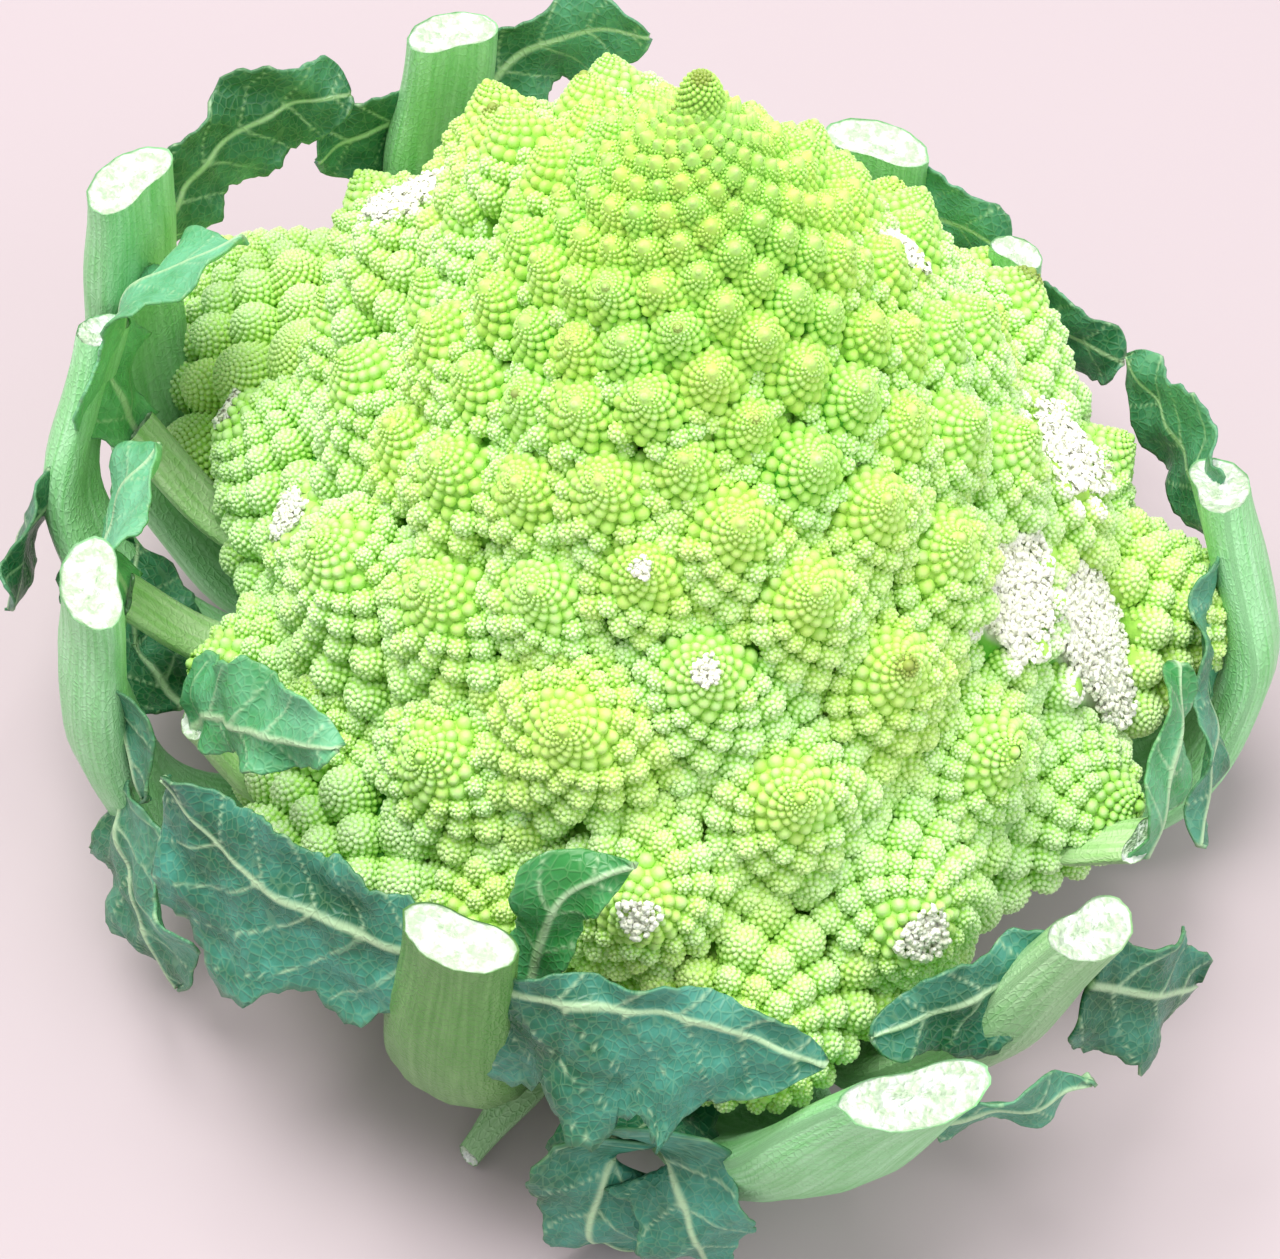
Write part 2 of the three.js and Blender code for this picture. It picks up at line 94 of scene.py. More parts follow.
class Patch:
    """Vertices, triangles and per-vertex values, gathered until they become one mesh."""

    def __init__(self, **defaults):
        self.defaults = defaults
        self.points = []
        self.faces = []
        self.values = {key: [] for key in defaults}
        self.count = 0

    def add(self, points, faces, **values):
        """Adds triangles with the values stored on their points."""
        points = np.asarray(points, float).reshape(-1, 3)
        self.points.append(points)
        self.faces.append(np.asarray(faces).reshape(-1, 3) + self.count)
        self.count += len(points)
        for key, default in self.defaults.items():
            shape = (len(points), *np.shape(default))
            self.values[key].append(np.broadcast_to(values.get(key, default), shape))

    def lift_above(self, floor):
        """Presses what would reach below the floor up against it."""
        for points in self.points:
            low = points[:, 2] < floor
            points[low, 2] = floor + 0.1 * np.tanh(points[low, 2] - floor)

    def build(self, name, material, outside_map=False):
        """Makes the patch one mesh object."""
        points = np.concatenate(self.points) * SCALE
        faces = np.concatenate(self.faces)
        mesh = bpy.data.meshes.new(name)
        mesh.vertices.add(len(points))
        mesh.vertices.foreach_set("co", points.astype(np.float32).ravel())
        mesh.loops.add(faces.size)
        mesh.loops.foreach_set("vertex_index", faces.astype(np.int32).ravel())
        mesh.polygons.add(len(faces))
        mesh.polygons.foreach_set("loop_start", np.arange(0, faces.size, 3, dtype=np.int32))
        mesh.polygons.foreach_set("use_smooth", np.ones(len(faces), bool))
        for key, default in self.defaults.items():
            kind, field = ("FLOAT_VECTOR", "vector") if np.shape(default) else ("FLOAT", "value")
            layer = mesh.attributes.new(key, kind, "POINT")
            layer.data.foreach_set(field, np.concatenate(self.values[key]).astype(np.float32).ravel())
        mesh.update()
        mesh.validate()
        if outside_map:
            add_outside_map(mesh)
        piece = bpy.data.objects.new(name, mesh)
        bpy.context.collection.objects.link(piece)
        mesh.materials.append(material)
        return piece


def add_outside_map(mesh):
    """A UV map of the piece as seen from outside, which holds the small colours of its buds."""
    points = np.empty(len(mesh.vertices) * 3, np.float32)
    mesh.vertices.foreach_get("co", points)
    normals = np.empty_like(points)
    mesh.vertices.foreach_get("normal", normals)
    points = points.reshape(-1, 3)
    facing = unit(normals.reshape(-1, 3).mean(axis=0, keepdims=True))
    x, y = across(facing)
    flat = points @ np.concatenate([x, y]).T
    flat = 0.01 + 0.98 * (flat - flat.min(axis=0)) / np.ptp(flat, axis=0)
    corners = np.empty(len(mesh.loops), np.int32)
    mesh.loops.foreach_get("vertex_index", corners)
    layer = mesh.uv_layers.new(name="OFBake", do_init=False)
    layer.uv.foreach_set("vector", flat[corners].astype(np.float32).ravel())


def strip_faces(rows, columns, closed=False):
    """Triangles of a grid of rows x columns points; closed joins the last column to the first."""
    wide = columns if closed else columns - 1
    i, j = np.meshgrid(np.arange(rows - 1), np.arange(wide), indexing="ij")
    a = i * columns + j
    b = i * columns + (j + 1) % columns
    c = b + columns
    d = a + columns
    halves = [np.stack(corners, -1).reshape(-1, 3) for corners in ((a, b, c), (a, c, d))]
    return np.concatenate(halves)


def fan_faces(count, rings):
    """Triangles that close a grid of rings, each of count points, with one more point at its middle."""
    last = (rings - 1) * count + np.arange(count)
    middle = np.full(count, rings * count)
    fan = np.stack([last, np.roll(last, -1), middle], -1)
    return np.concatenate([strip_faces(rings, count, True), fan])


def dome(sides, rings):
    """A bud, or a cone, of unit base radius and height: its points as [across, across, up], and its
    triangles. rings lists [radius, height] from below the tip to the base."""
    turn = np.arange(sides) * 2 * math.pi / sides
    points = [[[0.0, 0.0, 1.0]]]
    for k, (radius, height) in enumerate(rings):
        a = turn + k * math.pi / sides
        points.append(np.stack([radius * np.cos(a), radius * np.sin(a), np.full(sides, height)], -1))
    j = np.arange(sides)
    cap = np.stack([np.zeros(sides, int), 1 + j, 1 + (j + 1) % sides], -1)
    skirt = strip_faces(len(rings), sides, True)[:, [0, 2, 1]] + 1
    return np.concatenate(points), np.concatenate([cap, skirt])


def place_all(template, centre, x, y, z):
    """Copies of a template, one for each centre, on its own scaled axes."""
    points, faces = template
    spread = sum(points[None, :, k, None] * axis[:, None] for k, axis in enumerate((x, y, z)))
    placed = centre[:, None] + spread
    copies = np.arange(len(centre))[:, None, None] * len(points)
    return placed.reshape(-1, 3), (faces[None] + copies).reshape(-1, 3)


# ---- Curd ----

# Flanks that swell out: azimuth and width in degrees, then the share they swell by half way and at the rim.
BULGES = (
    (133.0, 16.0, 0.3, 0.34),
    (106.0, 22.0, 0.42, -0.04),
    (66.0, 22.0, 0.2, 0.06),
    (195.0, 45.0, -0.03, -0.04),
)
BULGE_RISE_S = 60  # slant distance over which the bulges set in
BULGE_MIDDLE_S, BULGE_RIM_S = 90, 140  # where they swell by their half-way share and by their rim share
FLORET_RADIUS = 0.56  # a floret's radius as a share of the spacing between florets
FLORET_HEIGHT = 1.3  # its height as a share of its radius
STEEP, LEVEL = 52, 26  # degrees that the florets near the tip point up by, and how much less the rim's do
CORE_INSET = 0.19  # how deep the core lies under the florets' tips, as a share of the slant distance
CHILD_GROWTH = 0.019  # natural logarithm of the step from one child of a floret to the next
BUD_SMALLEST = 0.5  # mm across: finer buds than this are left as plain skin
CLUSTER_SMALLEST = 2.7  # mm across: a floret's child at least this wide carries buds of its own
CHILD_WIDTH = 0.3  # a child's width as a share of its slant distance from its floret's tip
OUT_POWER, DOWN_POWER = 0.92, 1.06  # how a floret's flank bows out from an even cone
BODY_POWER = 0.87  # the same, for telling what lies inside a floret
BUD_COVER = 4.9  # buds on a dome: this times radius * (radius + height) over the square of a bud's width
BUD_EDGE = math.radians(98)  # how far round from a dome's top its buds go
VALLEY = 0.22  # how deep between florets children still show, as a share of the slant distance
APEX_RADIUS, APEX_HEIGHT = 3.1, 5.6  # mm: the knob at the head's tip
BRUISE_DEPTH = 0.36  # how far the skin is pale below a broken face, as a share of the face's width
SCAR_SPACING = 0.45  # mm between the crumbs of broken flesh
SPOTTED_TO_S = 125  # florets nearer the tip than this may have a dull tip
SECTORS = 12  # the curd's pieces: this many round, in each of the bands that start at BAND_S
BAND_S = (34, 88)

SMALL_BUD = dome(5, [(0.66, 0.76), (1.0, 0.0)])
BUD = dome(6, [(0.66, 0.78), (1.0, 0.1)])
LARGE_BUD = dome(8, [(0.5, 0.86), (0.86, 0.5), (1.0, 0.0)])
CLUSTER = dome(10, [(0.42, 0.9), (0.76, 0.65), (0.96, 0.28), (1.0, -0.1), (0.9, -0.5)])
FLORET = dome(
    18,
    [(0.1, 0.95), (0.26, 0.82), (0.44, 0.65), (0.64, 0.44), (0.84, 0.2), (1.0, 0.0), (1.12, -0.2)],
)

# Places where a floret is broken or rubbed: azimuth, slant distance, how deep, and how wide the scar is.
BREAKS = [
    (-11, 125, 12.0, 16.0),
    (-24, 97, 8.0, 11.5),
    (9, 106, 7.0, 10.0),
    (26, 62, 4.0, 5.5),
    (139, 75, 6.0, 8.5),
    (-172, 121, 4.0, 5.0),
    (-75, 132, 3.4, 5.0),
    (-87, 120, 2.2, 3.5),
    (-91, 89, 1.6, 2.6),
    (-110, 66, 1.0, 1.8),
    (150, 128, 3.0, 4.0),
]

# shade is painted light and shade: low in crevices where florets and buds meet, high on bud tops as a
# painted highlight. tone, white and brown are the curd's own colours.
CURD_VALUES = {"shade": 0.0, "tone": 0.0, "white": 0.0, "brown": 0.0}

# The hollow under the curd, which the leaf stalks run up: distance from the axis and height.
BOWL = ((27, 33), (60, 44), (100, 51), (140, 64))
HANG = 12.0  # mm: how far the rim's florets hang below that


def bulge(azimuth, s):
    """How many times wider than an even cone the head is, at an azimuth and a slant distance."""
    total = 1.0
    for at, width, middle, rim in BULGES:
        off = (np.degrees(azimuth) - at + 180) % 360 - 180
        down = smoothstep((s - BULGE_MIDDLE_S) / (BULGE_RIM_S - BULGE_MIDDLE_S))
        share = middle + (rim - middle) * down
        total = total + share * smoothstep(s / BULGE_RISE_S) * np.exp(-((off / width) ** 2))
    return total


def head_growth(s):
    """The growth of the head's spiral at a slant distance."""
    share = smoothstep((s - GROWTH_FROM_S) / (GROWTH_TO_S - GROWTH_FROM_S))
    return FINE_GROWTH + (COARSE_GROWTH - FINE_GROWTH) * share


def head_florets(rng):
    """Every floret's tip, axis, base radius and height, outward along the spiral."""
    steps = [TIP_S]
    while steps[-1] < RIM_S:
        crowded = smoothstep((steps[-1] - CROWDING_FROM_S) / (CROWDING_TO_S - CROWDING_FROM_S))
        steps.append(steps[-1] * math.exp(head_growth(steps[-1]) * (1 - RIM_CROWDING * crowded)))
    s = np.array(steps[:-1])
    n = np.arange(len(s))
    azimuth = FIRST_TURN - GOLDEN * n
    grow = bulge(azimuth, s)
    spacing = np.sqrt(PACKING * head_growth(s)) * s
    size = 1 + 0.09 * rng.standard_normal(len(n)).clip(-1.6, 1.6)
    radius = FLORET_RADIUS * spacing * (0.5 + 0.5 * grow) * size
    height = radius * (FLORET_HEIGHT + 0.1 * rng.standard_normal(len(n)).clip(-1.5, 1.5))
    lift = np.radians(STEEP - LEVEL * smoothstep((s - 96) / 46) + rng.uniform(-4, 4, len(n)))
    yaw = azimuth + np.radians(rng.uniform(-4, 4, len(n)))
    axis = np.stack([np.cos(yaw) * np.cos(lift), np.sin(yaw) * np.cos(lift), np.sin(lift)], -1)
    out = s * math.sin(HEAD_SLOPE) * grow
    z = NOMINAL_APEX - s * math.cos(HEAD_SLOPE)
    tip = np.stack([out * np.cos(azimuth), out * np.sin(azimuth), z], -1)
    tip += axis * (height * 0.12 * rng.standard_normal(len(n)).clip(-1, 1.3))[:, None]
    return {"tip": tip, "axis": axis, "radius": radius, "height": height, "s": s, "azimuth": azimuth}


def spiral_on(tip, axis, radius, height, first, last, growth, turn):
    """Points on a spiral over a cone, from the share first of the way down to last: places, outward
    normals, shares of the way down and slant distances from the tip."""
    k = np.arange(int(math.log(last / first) / growth) + 1)
    share = first * np.exp(growth * k)
    angle = turn + GOLDEN * k
    x, y = across(axis)
    radial = x * np.cos(angle)[:, None] + y * np.sin(angle)[:, None]
    place = tip - axis * (height * share**DOWN_POWER)[:, None]
    place += radial * (radius * share**OUT_POWER)[:, None]
    normal = unit(radial * height + axis * radius)
    return place, normal, share, np.hypot(radius, height) * share


def buds_on(top, axis, radius, height, width, turn):
    """Evenly sized buds over domes, spaced as seeds are in a flower's head: places, normals, shares of the
    way down, widths and which dome each is on."""
    need = np.ceil(BUD_COVER * radius * (radius + height) / width**2).astype(int)
    owner = np.repeat(np.arange(len(need)), need)
    k = np.arange(need.sum()) - np.repeat(np.cumsum(need) - need, need)
    part = (k + 1.6) / (need[owner] + 1.1)
    share = part**0.64
    angle = turn[owner] + GOLDEN * k
    tilt = share * BUD_EDGE
    x, y = across(axis)
    radial = x[owner] * np.cos(angle)[:, None] + y[owner] * np.sin(angle)[:, None]
    place = top[owner] + radial * (radius[owner] * np.sin(tilt))[:, None]
    place -= axis[owner] * (height[owner] * (1 - np.cos(tilt)))[:, None]
    outward = radial * (height[owner] * np.sin(tilt))[:, None]
    upward = axis[owner] * (radius[owner] * np.cos(tilt))[:, None]
    return place, unit(outward + upward), share, width[owner] * part**0.14, owner


def inside(points, florets, others, margin):
    """Which points lie inside any of the other florets, deeper than margin."""
    hidden = np.zeros(len(points), bool)
    for j in others:
        height = florets["height"][j]
        offset = florets["tip"][j] - points
        along = offset @ florets["axis"][j]
        off = np.linalg.norm(offset - along[:, None] * florets["axis"][j], axis=1)
        share = np.clip(along / height, 0, 1.6)
        reach = florets["radius"][j] * share**BODY_POWER - margin
        hidden |= (along > 0) & (along < height * 1.5) & (off < reach)
    return hidden


def head_depth(points):
    """How far points stand outside the cone over the florets' tips; inside it is negative."""
    below = NOMINAL_APEX - points[:, 2]
    swell = bulge(np.arctan2(points[:, 1], points[:, 0]), below / math.cos(HEAD_SLOPE))
    out = np.hypot(points[:, 0], points[:, 1]) / swell
    return out * math.cos(HEAD_SLOPE) - below * math.sin(HEAD_SLOPE)


def underside(points):
    """The height of the hollow under the curd at each point."""
    return np.interp(np.hypot(points[:, 0], points[:, 1]), *zip(*BOWL))


def break_planes(florets):
    """For each break, the floret it is on, a point on the broken face, the face's normal and its width."""
    planes = {}
    for degrees, s, depth, width in BREAKS:
        azimuth = np.radians(degrees)
        out = s * math.sin(HEAD_SLOPE) * bulge(azimuth, s)
        where = polar(degrees, out, NOMINAL_APEX - s * math.cos(HEAD_SLOPE))
        i = int(np.argmin(np.linalg.norm(florets["tip"] - where, axis=1)))
        planes[i] = (florets["tip"][i] - florets["axis"][i] * depth, florets["axis"][i], width)
    return planes


def keep_unbroken(points, plane):
    """Which points lie below the broken face, if there is one."""
    if plane is None:
        return np.ones(len(points), bool)
    return (points - plane[0]) @ plane[1] < 0


def paleness(points, plane):
    """How white the skin is near a broken face, where it is bruised."""
    if plane is None:
        return np.zeros(len(points))
    centre, normal, width = plane
    near = smoothstep(1 + ((points - centre) @ normal) / (BRUISE_DEPTH * width))
    return 0.8 * near * smoothstep(width / 8)


def add_buds(patch, template, place, normal, size, shade, turn, sunk=0.35, **values):
    """A bud on each place, of the given widths, sunk by a share of its radius."""
    if not len(place):
        return
    x, y = across(normal)
    c = np.cos(turn)[:, None]
    s = np.sin(turn)[:, None]
    x, y = x * c + y * s, y * c - x * s
    r = (size / 2)[:, None]
    points, faces = place_all(template, place - normal * r * sunk, x * r, y * r, normal * r * 1.15)
    up = np.clip(template[0][:, 2], 0, 1)
    # Painted shade and painted highlight: each bud is darker at its base and lighter at its top.
    shades = (shade[:, None] + (up[None] - 0.8) * 0.3).ravel()
    spread = {k: np.repeat(v, len(up)) for k, v in values.items()}
    patch.add(points, faces, shade=shades, **spread)


def add_scar(patch, plane, i, rng):
    """The crumbly white flesh of a broken floret."""
    centre, normal, width = plane
    x, y = across(normal[None])
    count = int(math.pi * width * width / (SCAR_SPACING * SCAR_SPACING) * 0.6) + 12
    reach = width * np.sqrt(rng.uniform(0, 1, count))
    angle = rng.uniform(0, 2 * math.pi, count)
    reach *= 0.86 + 0.14 * np.sin(3 * angle + i)
    place = centre + x * (reach * np.cos(angle))[:, None] + y * (reach * np.sin(angle))[:, None]
    place = place - normal * (rng.uniform(0.0, 0.12, count) * width * (reach / width))[:, None]
    place += normal * rng.uniform(-0.5, 0.5, count)[:, None]
    size = rng.uniform(0.6, 1.4, count) * min(1, 0.5 + width / 8)
    tilt = unit(normal + 0.45 * rng.standard_normal((count, 3)))
    shade = rng.uniform(0.5, 1, count)
    white = np.clip(1.25 - 0.5 * (reach / width) ** 3 + rng.uniform(-0.1, 0.1, count), 0, 1)
    add_buds(patch, BUD, place, tilt, size, shade, angle, white=white, tone=rng.uniform(-1, 1, count))


def add_body(patch, florets, i, plane, tone):
    """The cone under a floret's buds, cut by its broken face and by the hollow under the curd."""
    tip = florets["tip"][i : i + 1]
    axis = florets["axis"][i : i + 1]
    radius = florets["radius"][i : i + 1]
    height = florets["height"][i : i + 1]
    x, y = across(axis)
    body, faces = place_all(FLORET, tip - axis * height * 1.04, x * radius, y * radius, axis * height)
    white = np.zeros(len(body))
    if plane is not None:
        over = np.maximum((body - plane[0]) @ plane[1] + 0.4, 0)
        body = body - over[:, None] * plane[1]
        white = smoothstep(over / 0.5)
    lowest = underside(body) - HANG + 2
    white = np.maximum(white, 0.4 * smoothstep((lowest - body[:, 2]) / 3))
    body[:, 2] = np.maximum(body[:, 2], lowest)
    # Painted shade: the body is dark low down, where florets meet, and lighter towards its top. Small
    # florets are lighter all over.
    rise = smoothstep((FLORET[0][:, 2] - 0.45) / 0.4)
    shade = 0.1 + 0.55 * np.maximum(rise, 1 - smoothstep((radius - 1.2) / 3))
    patch.add(body, faces, shade=shade, tone=tone, white=white)


def floret_children(florets, i, plane, others, tone, brown, rng):
    """A floret's children that can be seen: where they stand, their widths and their colours."""
    axis = florets["axis"][i]
    turn = rng.uniform(0, 6.28)
    place, normal, share, slant = spiral_on(
        florets["tip"][i], axis, florets["radius"][i], florets["height"][i], 0.05, 1.18, CHILD_GROWTH, turn
    )
    size = CHILD_WIDTH * slant * (1 + 0.09 * rng.standard_normal(len(share)).clip(-1.5, 1.5))
    lean = unit(normal + axis * 0.2)
    shown = (size > BUD_SMALLEST) & keep_unbroken(place + lean * size[:, None] * 0.4, plane)
    shown &= ~inside(place + normal * size[:, None] * 0.3, florets, others, 0.5)
    shown &= head_depth(place) > -VALLEY * florets["s"][i] - 2
    shown &= place[:, 2] > underside(place) - HANG
    share = share[shown]
    children = {"place": place[shown], "lean": lean[shown], "size": size[shown]}
    children["part"] = np.clip(1 - share, 0, 1)
    children["turn"] = rng.uniform(0, 6.28, len(share))
    children["tone"] = tone * 0.6 + rng.uniform(-0.4, 0.4, len(share))
    children["brown"] = brown * smoothstep((0.16 - share) / 0.08)
    return children


def pick(children, which):
    """Some of a floret's children."""
    return {name: values[which] for name, values in children.items()}


def add_single_buds(patch, children, plane):
    """The finest children, which are one smooth bud each."""
    for low, high, template in ((0, 0.8, SMALL_BUD), (0.8, 1.2, BUD), (1.2, CLUSTER_SMALLEST, LARGE_BUD)):
        c = pick(children, (children["size"] >= low) & (children["size"] < high))
        # Painted shade: children lower down the floret, towards the valleys between florets, are darker.
        shade = 0.5 + 0.3 * c["part"]
        white = paleness(c["place"], plane)
        add_buds(
            patch, template, c["place"], c["lean"], c["size"] * 1.12, shade, c["turn"],
            tone=c["tone"], brown=c["brown"], white=white,
        )


def add_tip_knob(patch, florets, i, tone, brown):
    """The smooth bud on a floret's tip."""
    axis = florets["axis"][i : i + 1]
    knob = np.clip(florets["radius"][i : i + 1] * 0.4, 1.2, 2.1)
    tone = np.array([tone])
    add_buds(
        patch, LARGE_BUD, florets["tip"][i : i + 1] - axis * knob * 0.6, axis, knob, np.array([0.7]), tone,
        tone=tone, brown=np.array([brown]),
    )


def add_clusters(patch, c, florets, i, others, plane, rng):
    """The larger children c of a floret: a dome each, covered with fine buds."""
    r = c["size"] * 0.56
    h = r * 1.55
    lean = c["lean"]
    top = c["place"] + lean * (h * 0.86)[:, None]
    x, y = across(lean)
    foot = top - lean * (h * 1.02)[:, None]
    points, faces = place_all(CLUSTER, foot, x * r[:, None], y * r[:, None], lean * h[:, None])
    rise = np.clip(CLUSTER[0][:, 2], 0, 1)
    # Painted shade: each cluster's dome is darker at its foot and lighter towards its top.
    shades = (0.2 + 0.1 * c["part"][:, None] + 0.3 * rise[None]).ravel()
    patch.add(points, faces, shade=shades, tone=np.repeat(c["tone"], len(rise)))

    width = np.clip(0.66 + 0.085 * c["size"], 0.8, 1.25)
    spot, normal, down, width, owner = buds_on(top, lean, r, h, width, c["turn"])
    seen = keep_unbroken(spot + normal * 0.3, plane)
    seen &= ~inside(spot + normal * 0.2, florets, others, 0.3)
    seen &= ~inside(spot, florets, [i], 0.5)
    # A bud is hidden if it lies inside a neighbouring cluster of its own floret.
    heart = top - lean * h[:, None]
    gap = np.linalg.norm(spot[:, None] - heart[None], axis=2) - r[None] * 0.95
    gap[np.arange(len(spot)), owner] = np.inf
    seen &= gap.min(axis=1) > 0
    spot, normal, down, width, owner = (v[seen] for v in (spot, normal, down, width, owner))
    # Painted shade: buds are darker further down the cluster's flank and lighter nearer the floret's tip.
    shade = 0.95 - 0.6 * down**2 + 0.1 * c["part"][owner]
    spin = rng.uniform(0, 6.28, len(spot))
    width = width * rng.uniform(1.12, 1.26, len(spot))
    tone = c["tone"][owner] + rng.uniform(-0.2, 0.2, len(spot))
    brown = c["brown"][owner]
    white = paleness(spot, plane)
    for use, template in ((width < 0.85, SMALL_BUD), (width >= 0.85, BUD)):
        add_buds(
            patch, template, spot[use], normal[use], width[use], shade[use], spin[use],
            sunk=0.62, tone=tone[use], brown=brown[use], white=white[use],
        )
    # The tip of each cluster is one larger bud, given a high shade value as a painted highlight.
    add_buds(
        patch, LARGE_BUD, top - lean * (h * 0.05)[:, None], lean, np.clip(c["size"] * 0.3, 0.8, 1.6),
        0.8 + 0.1 * c["part"], c["turn"], tone=c["tone"], brown=c["brown"], white=paleness(top, plane),
    )


def add_floret(patch, florets, i, plane, rng):
    """One floret: its body, its spiral of single buds and clusters, and the knob on its tip."""
    far = 1.9 * (florets["radius"] + florets["radius"][i])
    near = np.linalg.norm(florets["tip"] - florets["tip"][i], axis=1) < far
    near[i] = False
    others = np.flatnonzero(near)
    tone = rng.uniform(-1, 1)
    brown = max(0.0, rng.uniform(-2.0, 0.9)) if florets["s"][i] < SPOTTED_TO_S else 0.0
    add_body(patch, florets, i, plane, tone)
    children = floret_children(florets, i, plane, others, tone, brown, rng)
    single = children["size"] < CLUSTER_SMALLEST
    add_single_buds(patch, pick(children, single), plane)
    if plane is None:
        add_tip_knob(patch, florets, i, tone, brown)
    whole = keep_unbroken(children["place"] + children["lean"] * (children["size"] * 0.8)[:, None], plane)
    clusters = pick(children, ~single & whole)
    if len(clusters["size"]):
        add_clusters(patch, clusters, florets, i, others, plane, rng)


def add_apex(patch, rng):
    """The knob of the finest buds at the very tip of the head, dull at its top."""
    axis = np.array([[0.0, 0.0, 1.0]])
    top = np.array([[0.0, 0.0, NOMINAL_APEX - 0.3]])
    radius = np.array([APEX_RADIUS])
    height = np.array([APEX_HEIGHT])
    x, y = across(axis)
    points, faces = place_all(CLUSTER, top - axis * height * 1.03, x * radius, y * radius, axis * height)
    patch.add(points, faces, shade=0.5)
    width = np.array([0.85])
    spot, normal, down, width, owner = buds_on(top, axis, radius, height, width, rng.uniform(0, 6.28, 1))
    brown = 0.95 * smoothstep((0.5 - down) / 0.35)
    # Painted shade: the knob's buds are darker further down its flank. Their brown top is their own colour.
    add_buds(patch, BUD, spot, normal, width * 1.15, 0.75 - 0.3 * down, down, tone=0 * down, brown=brown)


def core():
    """The body under the florets: the flank, and the branching underside down to the stem."""
    patch = Patch(**CURD_VALUES)
    profile = []
    flank_rows = 30
    for s in np.linspace(1.0, RIM_S * 0.93, flank_rows):
        inset = CORE_INSET * s
        profile.append((
            s * math.sin(HEAD_SLOPE) - inset * math.cos(HEAD_SLOPE),
            NOMINAL_APEX - s * math.cos(HEAD_SLOPE) - inset * math.sin(HEAD_SLOPE),
        ))
    profile += [(64, 49), (56, 45), (46, 41.5), (37, 38.5), (30, 36.5), (27, 34.5), (25, STEM_TOP + 0.4)]
    profile = np.array(profile)
    turn = np.linspace(0, 2 * math.pi, 120, endpoint=False)
    slant = (NOMINAL_APEX - profile[:, 1:]) / math.cos(HEAD_SLOPE)
    swell = 1 + (bulge(turn[None], slant) - 1) * smoothstep(profile[:, :1] / 40)
    radius = np.maximum(profile[:, :1], 0.05) * swell
    below = smoothstep((np.arange(len(profile)) - flank_rows + 3) / 3)[:, None]
    ridges = 1 + 0.05 * below * np.sin(13 * turn[None] + 0.9 * np.sin(3 * turn)[None])
    radius = radius * ridges
    height = np.broadcast_to(profile[:, 1:], radius.shape)
    points = np.stack([radius * np.cos(turn), radius * np.sin(turn), height], -1)
    faces = strip_faces(len(profile), len(turn), True)[:, [0, 2, 1]]
    branching = np.broadcast_to(below, radius.shape).ravel()
    # Painted shade: the flank, seen only deep between florets, takes the darkest shade value. The branching
    # underside is less shaded, and its paleness is its own colour.
    patch.add(points, faces, shade=0.25 * branching, white=0.55 * branching)
    return patch


def curd(material):
    """The whole curd, in pieces of neighbouring florets."""
    rng = np.random.default_rng(SEED)
    florets = head_florets(rng)
    planes = break_planes(florets)
    band = np.searchsorted(BAND_S, florets["s"])
    sector = (np.degrees(florets["azimuth"]) % 360 // (360 / SECTORS)).astype(int)
    group = np.where(band == 0, 0, 1 + SECTORS * (band - 1) + sector)
    count = 1 + SECTORS * len(BAND_S)
    patches = [Patch(**CURD_VALUES) for _ in range(count)]
    for i in range(len(group)):
        plane = planes.get(i)
        add_floret(patches[group[i]], florets, i, plane, rng)
        if plane is not None:
            add_scar(patches[group[i]], plane, i, rng)
    add_apex(patches[0], rng)
    pieces = [
        patch.build(f"curd_florets_{k:02d}", material, outside_map=True) for k, patch in enumerate(patches)
    ]
    pieces.append(core().build("curd_core", material))
    return pieces


# ---- Leaves ----

STALK_STATIONS, STALK_SIDES = 46, 36
CUT_SHARES = np.array([1.0, 0.965, 0.92, 0.8, 0.66, 0.52, 0.38, 0.24, 0.1])  # rings on a cut, inward
CUT_DISH = 0.54  # mm that a cut is sunk at its middle
CUT_LEVEL = 0.35  # how far a cut turns from square to its stalk towards level
BLADE_STEP = 0.9  # mm between stations along a blade's vein
BLADE_ROWS = 31
BLADE_TIP = 0.14  # the share of a blade's length over which its end is rounded
LOBE_LENGTH, TOOTH_LENGTH = 15.0, 4.6  # mm along the blade's edge
WAVE, WAVE_LENGTH = 1.6, 17.0  # mm: how far the edge is ruffled, and over what length
SIDE_VEIN_STEP = 8.5  # mm
REST_HEIGHT = 0.3  # mm: how far the lowest leaves stay above the floor
LEAF_VALUES = {
    "cut": 0.0,
    "stalk": 0.0,
    "vein": 0.0,
    "outer": 0.0,
    "edge": 0.0,
    "tone": 0.0,
    "grain": (0.0, 0.0, 0.0),
}


def ease(values, t):
    """Values spread evenly over 0..1, read smoothly at t."""
    values = np.atleast_1d(np.asarray(values, float))
    if len(values) == 1:
        return np.full(np.shape(t), values[0])
    x = np.clip(t, 0, 1) * (len(values) - 1)
    i = np.minimum(x.astype(int), len(values) - 2)
    f = smoothstep(x - i)
    return values[i] * (1 - f) + values[i + 1] * f


